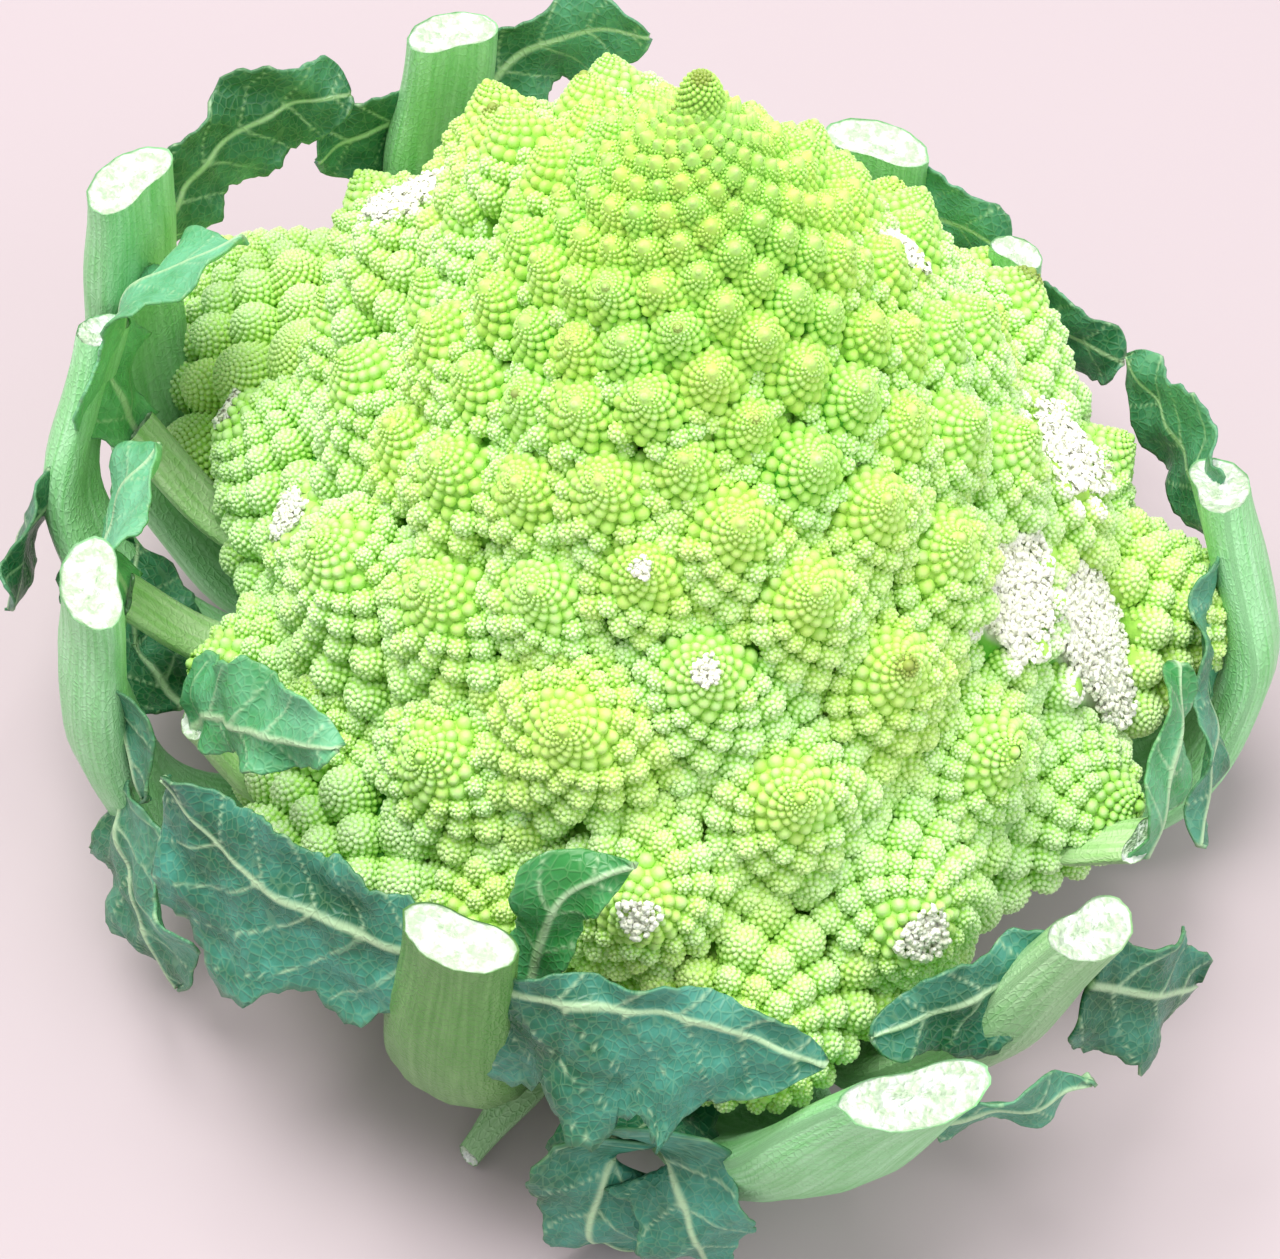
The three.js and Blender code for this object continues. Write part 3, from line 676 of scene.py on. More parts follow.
def run(path, t):
    """Points and directions at shares t of a smooth curve through polar places."""
    knots = np.array([polar(*p) for p in path])
    gaps = np.sqrt(np.linalg.norm(np.diff(knots, axis=0), axis=1))
    times = np.concatenate([[0], np.cumsum(gaps)])
    slopes = np.gradient(knots, times, axis=0)

    def at(time):
        i = np.clip(np.searchsorted(times, time, side="right") - 1, 0, len(knots) - 2)
        h = (times[i + 1] - times[i])[:, None]
        u = ((time - times[i]) / h[:, 0])[:, None]
        return (
            (2 * u**3 - 3 * u**2 + 1) * knots[i]
            + (u**3 - 2 * u**2 + u) * h * slopes[i]
            + (3 * u**2 - 2 * u**3) * knots[i + 1]
            + (u**3 - u**2) * h * slopes[i + 1]
        )

    fine = at(np.linspace(0, times[-1], 400))
    length = np.concatenate([[0], np.cumsum(np.linalg.norm(np.diff(fine, axis=0), axis=1))])
    points = np.stack([np.interp(t * length[-1], length, fine[:, k]) for k in range(3)], -1)
    along = unit(np.gradient(points, axis=0))
    return points, along, length[-1]


def ripple(x, y, seed, scale):
    """A smooth wavy value of about -1 to 1 over a plane, from a few crossing waves."""
    rng = np.random.default_rng(seed)
    total = 0
    for _ in range(6):
        heading = rng.uniform(0, 6.28)
        frequency = rng.uniform(0.6, 1.6) / scale
        phase = rng.uniform(0, 6.28)
        along = x * np.cos(heading) + y * np.sin(heading)
        total = total + np.sin(along * frequency * 2 * math.pi + phase)
    return total / 2.6


def stalk_section(turn):
    """The stalk's section, as shares of its half width and half depth: ribbed outside, hollowed inside."""
    x = np.cos(turn)
    hollow = 0.62 - 0.2 * np.exp(-((x / 0.45) ** 2))
    y = np.where(np.sin(turn) > 0, np.sin(turn) * hollow, np.sin(turn))
    ribs = 1 + 0.02 * np.cos(11 * turn) * (np.sin(turn) < 0.3)
    return x * ribs, y * ribs


def add_stalk(patch, spec, seed):
    """A thick leaf stalk along a path, cut through at its upper end."""
    t = np.linspace(0, 1, STALK_STATIONS)
    centre, along, length = run(spec["path"], t)
    out = unit(centre * [1, 1, 0])
    facing = out * -along[:, 2:] + np.array([0, 0, 1.0]) * (along * out).sum(1, keepdims=True)
    side = unit(np.cross(along, facing))
    inner = np.cross(side, along)
    w = ease(spec["width"], t) / 2
    d = ease(spec["depth"], t) / 2
    turn = np.linspace(0, 2 * math.pi, STALK_SIDES, endpoint=False)
    x, y = stalk_section(turn)
    wobble = 1 + 0.035 * ripple(turn[None] * 6, t[:, None] * length, seed, 26)
    x = x[None] * w[:, None] * wobble
    y = y[None] * d[:, None] * wobble
    points = centre[:, None] + side[:, None] * x[..., None] + inner[:, None] * y[..., None]
    # The knife's cut is a plane across the end; the last stations lean over to meet it.
    normal = unit(along[-1] * (1 - CUT_LEVEL) + np.array([0, 0, 1.0]) * CUT_LEVEL)
    lean = -((points - centre[:, None]) @ normal) / np.clip(along @ normal, 0.3, 1)[:, None]
    points += along[:, None] * (lean * smoothstep((t - 0.72) / 0.28)[:, None])[..., None]
    grain = np.stack(np.broadcast_arrays(turn[None] * w.mean(), t[:, None] * length, 0.0), -1)
    grain = grain.reshape(-1, 3)
    tone = np.random.default_rng(seed).uniform(-1, 1)
    patch.add(points, strip_faces(STALK_STATIONS, STALK_SIDES, True), stalk=1.0, grain=grain, tone=tone)
    add_cut(patch, points[-1], normal, side[-1], inner[-1], tone, seed)


def add_cut(patch, end, normal, side, inner, tone, seed):
    """The rough, slightly dished face of a cut over the last ring of a stalk."""
    middle = end.mean(axis=0)
    rings = middle + (end - middle)[None] * CUT_SHARES[:, None, None]
    rough = np.random.default_rng(seed + 5).uniform(-1, 1, rings.shape[:2]) * 0.34
    rough[0] = 0
    rough[1] = -0.12
    sunk = -CUT_DISH * (1 - CUT_SHARES**2)[:, None]
    rings = rings + normal * (rough + sunk)[..., None]
    cap = np.concatenate([rings.reshape(-1, 3), middle[None] - normal * CUT_DISH])
    cut = np.ones(len(cap))
    cut[:STALK_SIDES] = 0
    cut[STALK_SIDES : 2 * STALK_SIDES] = 0.55
    grain = np.stack([(cap - middle) @ side, (cap - middle) @ inner, np.zeros(len(cap))], -1)
    faces = fan_faces(STALK_SIDES, len(CUT_SHARES))
    patch.add(cap, faces, stalk=1.0, cut=cut, grain=grain, tone=tone)


def vein_pattern(a, b, length, width, seed):
    """How much of a vein there is at a point: a along the midrib and b across it, in mm."""
    total = np.exp(-((b / (1.0 - 0.55 * a / length)) ** 2))
    rng = np.random.default_rng(seed)
    for side in (-1.0, 1.0):
        reach = np.maximum(b * side, 0)
        thickness = 0.44 * (1 - 0.5 * reach / width) + 0.1
        forked = reach > width * 0.42
        starts = np.arange(-12, length, SIDE_VEIN_STEP) + rng.uniform(-1.5, 1.5)
        for start in starts:
            off = (a - start - reach * 0.75 - 0.012 * reach**2) * 0.8
            line = np.exp(-((off / thickness) ** 2)) * 0.7
            fork = np.where(forked, off + (reach - width * 0.42) * 0.7 * 0.8, 9)
            branch = np.exp(-((fork / 0.28) ** 2)) * 0.45
            total = np.maximum(total, np.where(b * side > 0, np.maximum(line, branch), 0))
    return np.clip(total, 0, 1)


def blade_widths(spec, t, a, seed):
    """A blade's widths left and right of its vein, with its lobes, its teeth and its rounded end."""
    taper = np.sqrt(np.clip(1 - ((t - 1 + BLADE_TIP) / BLADE_TIP).clip(0) ** 2, 0.02, 1))
    widths = []
    for key, shift in (("left", 0.0), ("right", 1.7)):
        phase = shift + seed
        lobe = 1 + 0.12 * np.sin(a / LOBE_LENGTH * 2 * math.pi + phase)
        tooth = 1 + 0.07 * np.abs(np.sin(a / TOOTH_LENGTH * math.pi + phase)) ** 0.7
        tooth += 0.03 * np.sin(a * 2.1 + seed)
        widths.append(ease(spec[key], t) * lobe * tooth * taper)
    return widths


def rim_wall(rows, columns):
    """Triangles that close the edge between two grids of rows x columns points."""
    total = rows * columns
    rim = np.concatenate([
        np.arange(columns),
        np.arange(2, rows + 1) * columns - 1,
        (rows - 1) * columns + np.arange(columns - 2, -1, -1),
        np.arange(rows - 2, 0, -1) * columns,
    ])
    following = np.roll(rim, -1)
    halves = ((rim, following, following + total), (rim, following + total, rim + total))
    return np.concatenate([np.stack(corners, -1) for corners in halves])


def add_blade(patch, spec, seed):
    """What is left of a blade: a thin veined sheet with a waved and toothed edge, along a vein."""
    knots = np.array([polar(*p) for p in spec["vein"]])
    rough_length = np.linalg.norm(np.diff(knots, axis=0), axis=1).sum()
    stations = int(rough_length / BLADE_STEP) + 8
    t = np.linspace(0, 1, stations)
    centre, along, length = run(spec["vein"], t)
    f = np.radians(ease(spec.get("faces", 0), t))[:, None]
    out = unit(centre * [1, 1, 0])
    wanted = -out * np.cos(f) + np.array([0, 0, 1.0]) * np.sin(f)
    side = unit(np.cross(along, wanted))
    normal = np.cross(side, along)

    left, right = blade_widths(spec, t, t * length, seed)
    a = (t * length)[:, None]
    v = np.linspace(-1, 1, BLADE_ROWS)
    b = np.where(v[None] < 0, v[None] * left[:, None], v[None] * right[:, None])
    share = np.broadcast_to(np.abs(v), b.shape)
    wave_turn = a / WAVE_LENGTH * 2 * math.pi
    ruffle = WAVE * share**1.6 * np.sin(wave_turn + np.sign(b) * 1.1 + seed)
    puff = 0.55 * ripple(a, b, seed + 3, 11)
    vein = vein_pattern(a, b, length, max(left.max(), right.max()), seed)
    middle = centre[:, None] + side[:, None] * b[..., None]
    middle = middle + normal[:, None] * (ruffle + puff)[..., None]

    true = unit(np.cross(np.gradient(middle, axis=1), np.gradient(middle, axis=0)))
    half = 0.22 + 0.3 * (1 - share) ** 2
    front = middle + true * (half - 0.12 * vein)[..., None]
    back = middle - true * (half + 0.42 * vein)[..., None]
    faces = strip_faces(stations, BLADE_ROWS)
    grain = np.stack(np.broadcast_arrays(b, a, 0.0), -1).reshape(-1, 3)
    edge = smoothstep((share - 0.9) / 0.1).ravel()
    patch.add(
        np.concatenate([front.reshape(-1, 3), back.reshape(-1, 3)]),
        np.concatenate([faces[:, [0, 2, 1]], faces + b.size, rim_wall(stations, BLADE_ROWS)]),
        vein=np.tile(vein.ravel(), 2),
        outer=np.repeat([0.0, 1.0], b.size),
        edge=np.tile(edge, 2),
        grain=np.tile(grain, (2, 1)),
        tone=np.random.default_rng(seed).uniform(-1, 1),
    )


def leaf(name, spec, material, seed):
    """One leaf: its stalks and what is left of its blades."""
    patch = Patch(**LEAF_VALUES)
    for k, stalk in enumerate(spec.get("stalks", [])):
        add_stalk(patch, stalk, seed + 40 * k)
    for k, blade in enumerate(spec.get("blades", [])):
        add_blade(patch, blade, seed + 7 + 13 * k)
    patch.lift_above(REST_HEIGHT)
    return patch.build(name + "_grown", material)


# Places on a path or a vein are [azimuth in degrees, distance from the axis, height]; widths and depths are
# spread evenly along it. faces is how far a blade's inner side looks up from the axis, in degrees.
LEAVES = {
    "leaf_front": {
        "look": "stalk_green",
        "stalks": [{
            "path": [[-88, 23.5, 12], [-87, 50, 8.5], [-84, 78, 12], [-79, 93, 32], [-72, 99, 56]],
            "width": [24, 27, 31, 29, 25], "depth": [11, 13, 15, 15, 12],
        }],
        "blades": [{
            "vein": [[-70, 100, 46], [-63, 104, 48], [-57, 105, 47]],
            "left": [5, 5, 2], "right": [7, 5, 1.5],
        }],
    },
    "leaf_front_left": {
        "look": "shaded_front_green",
        "stalks": [{
            "path": [[-124, 23.5, 20], [-121, 50, 17], [-117, 76, 20], [-114, 88, 42], [-112, 87, 76]],
            "width": [22, 22, 24, 20, 17], "depth": [10, 11, 13, 13, 12],
        }],
        "blades": [{
            "vein": [[-113, 88, 68], [-122, 88, 65], [-134, 91, 66], [-146, 93, 71]],
            "left": [7, 9, 9, 4], "right": [7, 14, 20, 8], "faces": [-15, -28, -28, -20],
        }, {
            "vein": [[-111, 88, 65], [-101, 89, 68], [-90, 89, 67], [-79, 94, 59]],
            "left": [16, 20, 18, 3], "right": [3, 4, 4, 3], "faces": [-15, -28, -30, -30],
        }],
    },
    "leaf_front_right": {
        "look": "blade_green",
        "stalks": [{
            "path": [[-62, 23.5, 22], [-64, 48, 18], [-66, 74, 21], [-60, 87, 42], [-52, 91, 63]],
            "width": [20, 22, 23, 21, 17], "depth": [10, 11, 13, 13, 12],
        }],
        "blades": [{
            "vein": [[-54, 90, 56], [-63, 89, 57], [-74, 90, 56]],
            "left": [6, 6, 3], "right": [9, 10, 4], "faces": [-15, -25, -25],
        }, {
            "vein": [[-52, 94, 50], [-46, 99, 42], [-40, 100, 32]],
            "left": [9, 12, 6], "right": [6, 9, 6], "faces": [-10, -20, -15],
        }],
    },
    "leaf_right": {
        "look": "stalk_green",
        "stalks": [{
            "path": [[-14, 23.5, 14], [-11, 50, 9], [-8, 79, 13], [-1, 90, 34], [8, 84.5, 59]],
            "width": [22, 24, 25, 22, 16], "depth": [11, 12, 14, 13, 12],
        }],
        "blades": [{
            "vein": [[3, 85, 47], [-7, 83, 44], [-18, 86, 41], [-28, 89, 36]],
            "left": [8, 9, 8, 3], "right": [8, 9, 9, 4], "faces": -12,
        }, {
            "vein": [[9, 86, 49], [20, 86, 51], [31, 86, 53]],
            "left": [7, 10, 5], "right": [10, 10, 4], "faces": 5,
        }],
    },
    "leaf_right_back": {
        "look": "stalk_green",
        "stalks": [{
            "path": [[44, 23.5, 22], [46, 48, 19], [48, 75, 22], [50, 88, 36], [50, 88.5, 53]],
            "width": [15, 16, 16, 14, 10], "depth": [8, 9, 10, 10, 8],
        }],
        "blades": [{
            "vein": [[49, 89, 40], [42, 90, 41], [35, 92, 42]],
            "left": [6, 8, 4], "right": [8, 9, 5], "faces": 5,
        }],
    },
    "leaf_back_right": {
        "look": "stalk_green",
        "stalks": [{
            "path": [[76, 23.5, 13], [74, 50, 9], [72, 79, 12], [70, 93, 34], [69, 92, 61]],
            "width": [24, 26, 27, 24, 19], "depth": [11, 12, 14, 14, 12],
        }],
        "blades": [{
            "vein": [[67, 92, 47], [60, 92, 49], [52, 92, 49]],
            "left": [8, 9, 5], "right": [9, 9, 5], "faces": 8,
        }, {
            "vein": [[72, 92, 47], [80, 92, 46], [88, 92, 43]],
            "left": [8, 9, 5], "right": [9, 10, 5], "faces": 8,
        }],
    },
    "leaf_back_left": {
        "look": "stalk_green",
        "stalks": [{
            "path": [[122, 23.5, 21], [121, 50, 18], [119, 80, 22], [117, 96, 50], [114, 97, 84]],
            "width": [20, 22, 23, 20, 16], "depth": [10, 11, 13, 13, 12],
        }],
        "blades": [{
            "vein": [[112, 97, 69], [106, 99, 75], [99, 97, 79], [94, 93, 80]],
            "left": [5, 6, 7, 4], "right": [8, 10, 10, 5], "faces": [5, 10, 10, 20],
        }, {
            "vein": [[118, 99, 66], [123, 101, 66], [129, 101, 65]],
            "left": [10, 11, 6], "right": [6, 7, 4], "faces": 5,
        }],
    },
    "leaf_left_back": {
        "look": "stalk_green",
        "stalks": [{
            "path": [[160, 23.5, 13], [158, 52, 9], [156, 84, 14], [153, 103, 42], [149.5, 104, 86]],
            "width": [23, 25, 26, 23, 19], "depth": [11, 12, 14, 14, 13],
        }],
        "blades": [{
            "vein": [[147, 105, 70], [140, 105, 76], [132, 103, 79], [125, 99, 78]],
            "left": [5, 8, 9, 6], "right": [8, 10, 10, 6], "faces": 8,
        }],
    },
    "leaf_left_upper": {
        "look": "stalk_green",
        "stalks": [{
            "path": [[-178, 23.5, 23], [-178, 50, 20], [176, 84, 24], [170, 102, 46], [160, 100, 71]],
            "width": [17, 18, 18, 16, 12], "depth": [8, 9, 10, 10, 9],
        }],
        "blades": [{
            "vein": [[170, 104, 52], [175, 108, 50], [-179, 109, 44]],
            "left": [8, 11, 7], "right": [5, 8, 7], "faces": -8,
        }, {
            # Painted shade: a blade laid low in the gap between the stalk and the curd, a dark sheet
            # standing in for the shade there.
            "vein": [[-172, 84, 30], [179, 92, 33], [169, 94, 36]],
            "left": [9, 12, 9], "right": [9, 12, 9], "faces": 55,
        }],
    },
    "leaf_left": {
        "look": "stalk_green",
        "stalks": [{
            "path": [[-156, 23.5, 13], [-158, 52, 9], [-162, 84, 14], [-166, 94, 42], [-168, 91, 74]],
            "width": [24, 26, 27, 26, 19], "depth": [11, 12, 14, 14, 12],
        }],
        "blades": [{
            "vein": [[-165, 93, 56], [-160, 92, 52], [-155, 93, 45]],
            "left": [9, 9, 6], "right": [8, 8, 6], "faces": -10,
        }, {
            "vein": [[-160, 95, 38], [-155, 98, 34], [-150, 99, 24], [-146, 98, 15]],
            "left": [8, 12, 12, 8], "right": [8, 12, 13, 8], "faces": -18,
        }],
    },
    "inner_leaf_left": {
        "look": "inner_green",
        "stalks": [{
            "path": [[-146, 30, 31], [-148, 52, 33], [-153, 74, 40], [-158, 82, 54]],
            "width": 8, "depth": 5,
        }],
        "blades": [{
            "vein": [[-158, 82, 53], [-154, 81, 63], [-145, 78, 72], [-134, 73, 79]],
            "left": [4, 5, 5, 3], "right": [4, 9, 9, 4], "faces": [-5, -20, -34, -38],
        }],
    },
    "inner_leaf_front": {
        "look": "inner_green",
        "stalks": [{
            "path": [[-100, 30, 31], [-102, 52, 33], [-105, 74, 41], [-107, 83, 54]],
            "width": 8, "depth": 5,
        }],
        "blades": [{
            "vein": [[-107, 83, 53], [-106, 80, 66], [-104, 77, 76], [-97, 73, 81]],
            "left": [2, 4, 5, 2], "right": [2, 4, 6, 2], "faces": [-5, -15, -35, -40],
        }],
    },
    "inner_leaf_right": {
        "look": "inner_green",
        "stalks": [{
            "path": [[-38, 30, 31], [-38, 52, 33], [-37, 72, 40], [-36, 83, 49]],
            "width": 9, "depth": 5,
        }],
        "blades": [{
            "vein": [[-36, 84, 46], [-33, 84, 52], [-28, 82, 58], [-20, 78, 64]],
            "left": [4, 6, 7, 3], "right": [4, 6, 6, 3], "faces": [-5, -10, -15, -30],
        }],
    },
    "inner_leaf_left_back": {
        "look": "inner_green",
        "stalks": [{
            "path": [[168, 30, 31], [167, 54, 31], [165, 80, 38], [162, 96, 52]],
            "width": 9, "depth": 5,
        }],
        "blades": [{
            "vein": [[162, 96, 50], [162, 99, 64], [158, 96, 77], [150, 82, 85]],
            "left": [5, 12, 14, 5], "right": [5, 12, 14, 5], "faces": [-5, -15, -35, -55],
        }],
    },
    "inner_leaf_left_mid": {
        "look": "inner_green",
        "stalks": [{
            "path": [[-176, 30, 31], [-176, 54, 31], [-177, 78, 38], [-178, 90, 50]],
            "width": 9, "depth": 5,
        }],
        "blades": [{
            "vein": [[-178, 90, 48], [-179, 92, 58], [177, 89, 66], [173, 84, 71]],
            "left": [5, 12, 12, 5], "right": [5, 11, 12, 5], "faces": [-5, -20, -35, -40],
        }],
    },
    "torn_leaf": {
        "look": "blade_green",
        "stalks": [{
            "path": [[-102, 23.5, 8], [-101, 45, 8], [-99, 66, 12], [-96, 84, 26]],
            "width": [16, 15, 14, 12], "depth": [7, 7, 6, 5],
        }, {
            "path": [[-102, 45, 8], [-107, 62, 9], [-111, 74, 8], [-114, 86, 3]],
            "width": [6, 8, 7, 4], "depth": [4, 5.5, 5, 3.6],
        }],
        "blades": [{
            "vein": [[-97, 80, 25], [-98, 93, 27], [-99, 98, 15], [-97, 95, 5], [-94, 94, 2]],
            "left": [8, 10, 9, 7, 4], "right": [8, 11, 10, 8, 4], "faces": [50, 10, -10, 10, 40],
        }, {
            "vein": [[-95, 80, 26], [-92, 94, 32], [-90, 101, 22], [-88.5, 99, 8]],
            "left": [8, 11, 8, 3], "right": [8, 10, 8, 3], "faces": [50, 10, -5, -5],
        }],
    },
}


def stem(material):
    """The thick stem, with the scars of older leaves, cut flat across where it stands."""
    patch = Patch(**LEAF_VALUES)
    rows, sides = 26, 72
    t = np.linspace(0, 1, rows)
    turn = np.linspace(0, 2 * math.pi, sides, endpoint=False)
    radius = STEM_RADIUS * (0.9 + 0.1 * t**2)[:, None]
    lobes = 0.025 * np.cos(5 * turn[None] + 2 * t[:, None])
    scars = 0.012 * ripple(turn[None] * 9, t[:, None] * 30, 3, 7)
    foot = 1 - 0.06 * np.exp(-t / 0.04)[:, None]
    radius = radius * (1 + lobes + scars) * foot
    z = np.broadcast_to((t * STEM_TOP)[:, None], radius.shape)
    points = np.stack([radius * np.cos(turn), radius * np.sin(turn), z], -1)
    grain = np.stack(np.broadcast_arrays(turn[None] * STEM_RADIUS, z, 0.0), -1).reshape(-1, 3)
    patch.add(points, strip_faces(rows, sides, True), stalk=1.0, grain=grain)
    add_stem_end(patch, points[0], cut=1.0, looks_down=True)
    add_stem_end(patch, points[-1], cut=0.0, looks_down=False)
    return patch.build("stem_grown", material)


def add_stem_end(patch, ring, cut, looks_down):
    """A flat end of the stem, in rings: pale flesh where it was cut."""
    shares = np.array([1.0, 0.96, 0.9, 0.7, 0.5, 0.3, 0.12])
    centre = np.array([0, 0, ring[0, 2]])
    rings = (ring * [1, 1, 0])[None] * shares[:, None, None] + centre
    cap = np.concatenate([rings.reshape(-1, 3), centre[None]])
    faces = fan_faces(len(ring), len(shares))
    if looks_down:
        faces = faces[:, [0, 2, 1]]
    cuts = np.append(np.repeat(np.array([0, 0.5, 1, 1, 1, 1, 1]) * cut, len(ring)), cut)
    patch.add(cap, faces, stalk=1.0, cut=cuts, grain=cap * [1, 1, 0])


# ---- Materials ----


def linear(r, g, b):
    """A colour given as 0..255 screen values, as the shader's linear ones."""
    screen = [c / 255 for c in (r, g, b)]
    return (*(c / 12.92 if c <= 0.04045 else ((c + 0.055) / 1.055) ** 2.4 for c in screen), 1.0)


class Nodes:
    """Short calls for the node tree of one material."""

    def __init__(self, name):
        self.material = bpy.data.materials.new(name)
        self.material.use_nodes = True
        self.tree = self.material.node_tree
        self.shader = self.tree.nodes["Principled BSDF"]

    def plug(self, value, socket):
        if isinstance(value, bpy.types.NodeSocket):
            self.tree.links.new(value, socket)
        elif value is not None:
            socket.default_value = value

    def attribute(self, name, vector=False):
        """A value stored on the mesh."""
        node = self.tree.nodes.new("ShaderNodeAttribute")
        node.attribute_name = name
        return node.outputs["Vector" if vector else "Fac"]

    def place(self):
        return self.tree.nodes.new("ShaderNodeTexCoord").outputs["Object"]

    def stretch(self, vector, scale):
        node = self.tree.nodes.new("ShaderNodeMapping")
        self.plug(vector, node.inputs["Vector"])
        node.inputs["Scale"].default_value = scale
        return node.outputs[0]

    def noise(self, vector, scale, detail=3.0, rough=0.55):
        node = self.tree.nodes.new("ShaderNodeTexNoise")
        self.plug(vector, node.inputs["Vector"])
        self.plug(scale, node.inputs["Scale"])
        self.plug(detail, node.inputs["Detail"])
        self.plug(rough, node.inputs["Roughness"])
        return node.outputs["Fac"]

    def cells(self, vector, scale, feature="F1"):
        node = self.tree.nodes.new("ShaderNodeTexVoronoi")
        node.feature = feature
        self.plug(vector, node.inputs["Vector"])
        self.plug(scale, node.inputs["Scale"])
        return node.outputs["Distance"]

    def ramp(self, value, low, high, to_low=0.0, to_high=1.0):
        node = self.tree.nodes.new("ShaderNodeMapRange")
        node.interpolation_type = "SMOOTHSTEP"
        for socket, v in zip(node.inputs, (value, low, high, to_low, to_high)):
            self.plug(v, socket)
        return node.outputs[0]

    def combine(self, operation, a, b):
        node = self.tree.nodes.new("ShaderNodeMath")
        node.operation = operation
        self.plug(a, node.inputs[0])
        self.plug(b, node.inputs[1])
        return node.outputs[0]

    def sum(self, a, b):
        return self.combine("ADD", a, b)

    def times(self, a, b):
        return self.combine("MULTIPLY", a, b)

    def minus(self, a, b):
        return self.combine("SUBTRACT", a, b)

    def mix(self, share, a, b):
        node = self.tree.nodes.new("ShaderNodeMix")
        node.data_type = "RGBA"
        self.plug(share, node.inputs[0])
        self.plug(a, node.inputs[6])
        self.plug(b, node.inputs[7])
        return node.outputs[2]

    def bump(self, height, strength, distance):
        node = self.tree.nodes.new("ShaderNodeBump")
        node.inputs["Strength"].default_value = strength
        node.inputs["Distance"].default_value = distance
        self.plug(height, node.inputs["Height"])
        return node.outputs[0]

    def finish(self, **sockets):
        for name, value in sockets.items():
            self.plug(value, self.shader.inputs[name.replace("_", " ")])
        return self.material


def curd_material():
    """Buds with painted shade, deep green where they meet, and a painted highlight, pale at their tips;
    dull tips; white broken flesh.
    """
    n = Nodes("curd_buds")
    shade, tone = n.attribute("shade"), n.attribute("tone")
    white, brown = n.attribute("white"), n.attribute("brown")
    where = n.place()
    patchy = n.noise(where, 45.0, 4.0)
    fine = n.noise(where, 900.0, 3.0)
    # The shade value is painted light: low values give the deep green painted shade of crevices, high
    # values the pale painted highlight on bud tops.
    lit = n.sum(shade, n.times(n.minus(fine, 0.5), 0.25))
    deep = n.mix(n.ramp(lit, 0.0, 0.62), linear(60, 164, 22), linear(180, 236, 104))
    bud = n.mix(n.ramp(lit, 0.5, 1.05), deep, linear(226, 255, 200))
    warm = n.sum(n.times(tone, 0.5), n.times(patchy, 0.9))
    tinted = n.mix(n.ramp(warm, 0.15, 0.95, 0.0, 0.5), bud, linear(214, 240, 112))
    dull = n.sum(brown, n.times(fine, 0.5))
    spotted = n.mix(n.ramp(dull, 0.45, 1.1, 0.0, 0.75), tinted, linear(136, 146, 56))
    flesh = n.mix(n.ramp(fine, 0.3, 0.75), linear(246, 250, 226), linear(255, 255, 250))
    bruised = n.sum(white, n.times(n.minus(patchy, 0.5), 0.6))
    color = n.mix(n.ramp(bruised, 0.35, 0.75), spotted, flesh)
    grit = n.sum(n.noise(where, 2600.0, 2.0), n.times(fine, 0.6))
    return n.finish(
        Base_Color=color,
        Roughness=n.ramp(fine, 0.2, 0.8, 0.4, 0.6),
        Normal=n.bump(grit, 0.35, 0.00018),
        Specular_IOR_Level=0.35,
    )


def leaf_material(name, light, dark, back, stalk_pale, stalk_green):
    """Leaf skin, stalk skin and cut flesh in one, told apart by the values stored on the mesh."""
    n = Nodes(name)
    cut, stalk, vein = n.attribute("cut"), n.attribute("stalk"), n.attribute("vein")
    outer, edge, tone = n.attribute("outer"), n.attribute("edge"), n.attribute("tone")
    grain, where = n.attribute("grain", True), n.place()
    cloud = n.noise(where, 38.0, 4.0)
    fine = n.noise(where, 420.0, 4.0)
    net = n.cells(n.stretch(grain, (0.75, 0.75, 1.0)), 1.0, "DISTANCE_TO_EDGE")
    mottled = n.sum(n.sum(cloud, n.times(fine, 0.35)), n.times(tone, 0.08))
    skin = n.mix(n.ramp(mottled, 0.45, 0.95), dark, light)
    skin = n.mix(n.times(outer, 0.8), skin, n.mix(n.ramp(mottled, 0.4, 1.0), dark, back))
    skin = n.mix(n.ramp(net, 0.0, 0.1, 0.14, 0.0), skin, linear(168, 205, 150))
    veined = n.mix(n.ramp(vein, 0.25, 0.95, 0.0, 0.85), skin, linear(190, 222, 176))
    blade = n.mix(n.times(edge, 0.25), veined, linear(120, 168, 110))
    streak = n.noise(n.stretch(grain, (0.9, 0.045, 1.0)), 1.0, 4.0)
    bloom = n.noise(n.stretch(grain, (0.2, 0.1, 1.0)), 1.0, 3.0)
    stick = n.mix(n.ramp(n.sum(streak, n.times(bloom, 0.5)), 0.4, 1.15), stalk_green, stalk_pale)
    body = n.mix(stalk, blade, stick)
    crystals = n.cells(n.stretch(grain, (0.9, 0.9, 1.0)), 1.0)
    wet = n.noise(n.stretch(grain, (0.35, 0.35, 1.0)), 1.0, 5.0)
    flesh = n.mix(n.ramp(wet, 0.42, 0.62), linear(188, 214, 176), linear(243, 250, 246))
    flesh = n.mix(n.ramp(crystals, 0.1, 0.6, 0.0, 0.35), flesh, linear(214, 232, 212))
    color = n.mix(n.ramp(cut, 0.35, 0.8), body, flesh)
    relief = n.sum(n.times(fine, 0.35), n.ramp(net, 0.0, 0.2, 0.0, 0.3))
    relief = n.sum(relief, n.times(n.sum(crystals, wet), n.times(cut, 3.0)))
    rough = n.minus(n.ramp(mottled, 0.4, 1.0, 0.34, 0.5), n.times(cut, 0.08))
    return n.finish(
        Base_Color=color,
        Roughness=rough,
        Normal=n.bump(relief, 0.5, 0.0006),
        Specular_IOR_Level=0.45,
    )


def floor_material():
    """A pale matte floor."""
    n = Nodes("floor_matte")
    tint = n.mix(n.noise(n.place(), 3.0, 2.0), linear(191, 177, 183), linear(196, 183, 189))
    return n.finish(Base_Color=tint, Roughness=0.75)


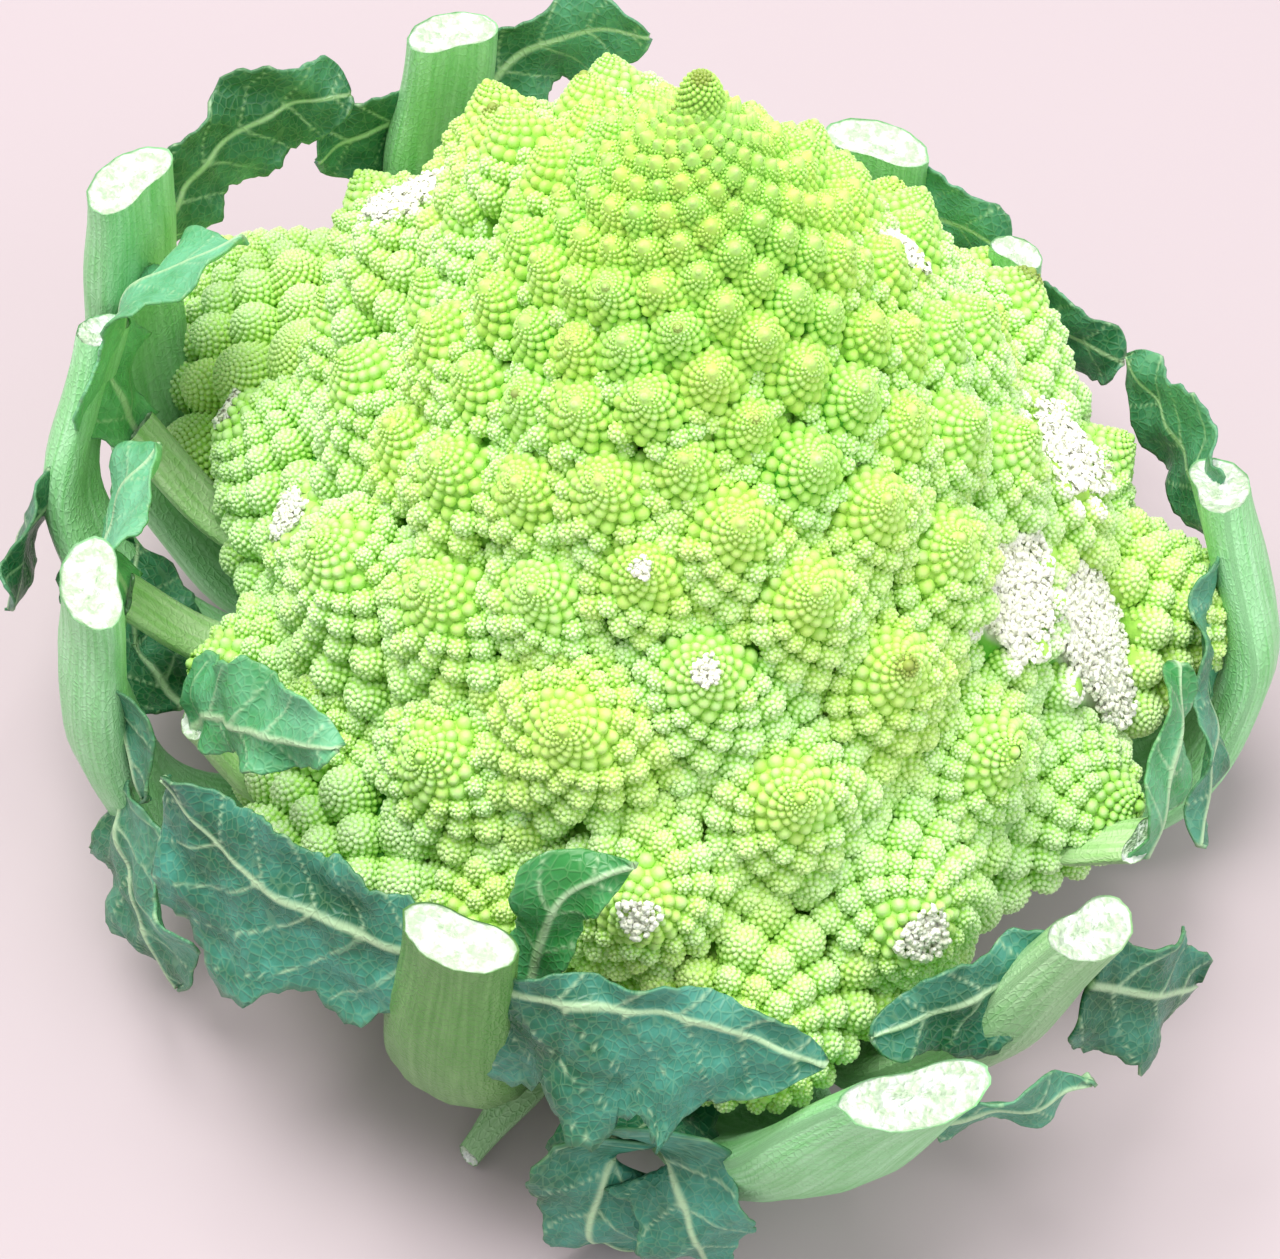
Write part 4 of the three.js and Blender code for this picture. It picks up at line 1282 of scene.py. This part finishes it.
LOOKS = {
    "stalk_green": dict(
        light=linear(100, 174, 136), dark=linear(22, 92, 50), back=linear(100, 176, 152),
        stalk_pale=linear(180, 232, 184), stalk_green=linear(124, 200, 122),
    ),
    # Painted shade: a darker copy of the leaf colours, for the front-left leaf, whose stalk stands in
    # shade.
    "shaded_front_green": dict(
        light=linear(60, 144, 118), dark=linear(18, 84, 48), back=linear(90, 178, 160),
        stalk_pale=linear(126, 176, 104), stalk_green=linear(84, 144, 62),
    ),
    "blade_green": dict(
        light=linear(58, 142, 110), dark=linear(18, 84, 46), back=linear(90, 178, 160),
        stalk_pale=linear(180, 216, 170), stalk_green=linear(126, 182, 116),
    ),
    "inner_green": dict(
        light=linear(128, 206, 140), dark=linear(52, 140, 66), back=linear(120, 196, 160),
        stalk_pale=linear(214, 236, 196), stalk_green=linear(150, 204, 120),
    ),
}


# ---- Room, light and camera ----

CAMERA_RISE = math.radians(54)  # how far down it looks
CAMERA_AWAY = 480.0  # mm from what it looks at
CAMERA_AT = (-8.0, -9.5, 49.0)  # mm
CAMERA_LENS, CAMERA_SENSOR = 85.0, 36.0  # mm
FLOOR_SIZE = 6  # m


def stage():
    """A plain floor under the part."""
    bpy.ops.mesh.primitive_plane_add(size=FLOOR_SIZE)
    floor = bpy.context.object
    floor.name = "floor"
    floor.data.materials.append(floor_material())


def softbox(name, place, target, size, power, color):
    """A round soft light that looks at a target."""
    data = bpy.data.lights.new(name, "AREA")
    data.shape = "DISK"
    data.size = size
    data.energy = power
    data.color = color
    lamp = bpy.data.objects.new(name, data)
    lamp.location = place
    lamp.rotation_euler = (Vector(target) - Vector(place)).to_track_quat("-Z", "Y").to_euler()
    bpy.context.collection.objects.link(lamp)


def light():
    """One large soft light from above, a weak one to fill the shadows, and an even room."""
    softbox("key", (-0.22, 0.16, 1.25), (0, 0, 0.06), 0.9, 18.0, (1.0, 0.98, 0.95))
    softbox("fill", (0.8, -0.5, 0.7), (0, 0, 0.06), 1.0, 4.0, (0.95, 0.98, 1.0))
    world = bpy.data.worlds.new("studio")
    world.use_nodes = True
    world.node_tree.nodes["Background"].inputs["Color"].default_value = (1.0, 0.98, 0.98, 1)
    world.node_tree.nodes["Background"].inputs["Strength"].default_value = 0.65
    bpy.context.scene.world = world


def camera():
    """Looks down on the head from the front."""
    data = bpy.data.cameras.new("camera")
    data.lens = CAMERA_LENS
    data.sensor_width = CAMERA_SENSOR
    data.clip_start = 0.01
    eye = bpy.data.objects.new("camera", data)
    x, y, z = CAMERA_AT
    y, z = y - math.cos(CAMERA_RISE) * CAMERA_AWAY, z + math.sin(CAMERA_RISE) * CAMERA_AWAY
    eye.location = (x * SCALE, y * SCALE, z * SCALE)
    eye.rotation_euler = (math.pi / 2 - CAMERA_RISE, 0, 0)
    bpy.context.collection.objects.link(eye)
    bpy.context.scene.camera = eye
    bpy.context.scene.view_settings.view_transform = "Standard"


def settle(piece, node):
    """Ties a piece to the frame."""
    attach(piece, "root")
    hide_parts(node)


def main():
    stage()
    light()
    camera()
    for piece in curd(curd_material()):
        settle(piece, "curd")
    skins = {name: leaf_material("leaf_" + name, **look) for name, look in LOOKS.items()}
    for k, (name, spec) in enumerate(LEAVES.items()):
        settle(leaf(name, spec, skins[spec["look"]], 100 + 31 * k), name)
    settle(stem(skins["stalk_green"]), "stem")


main()
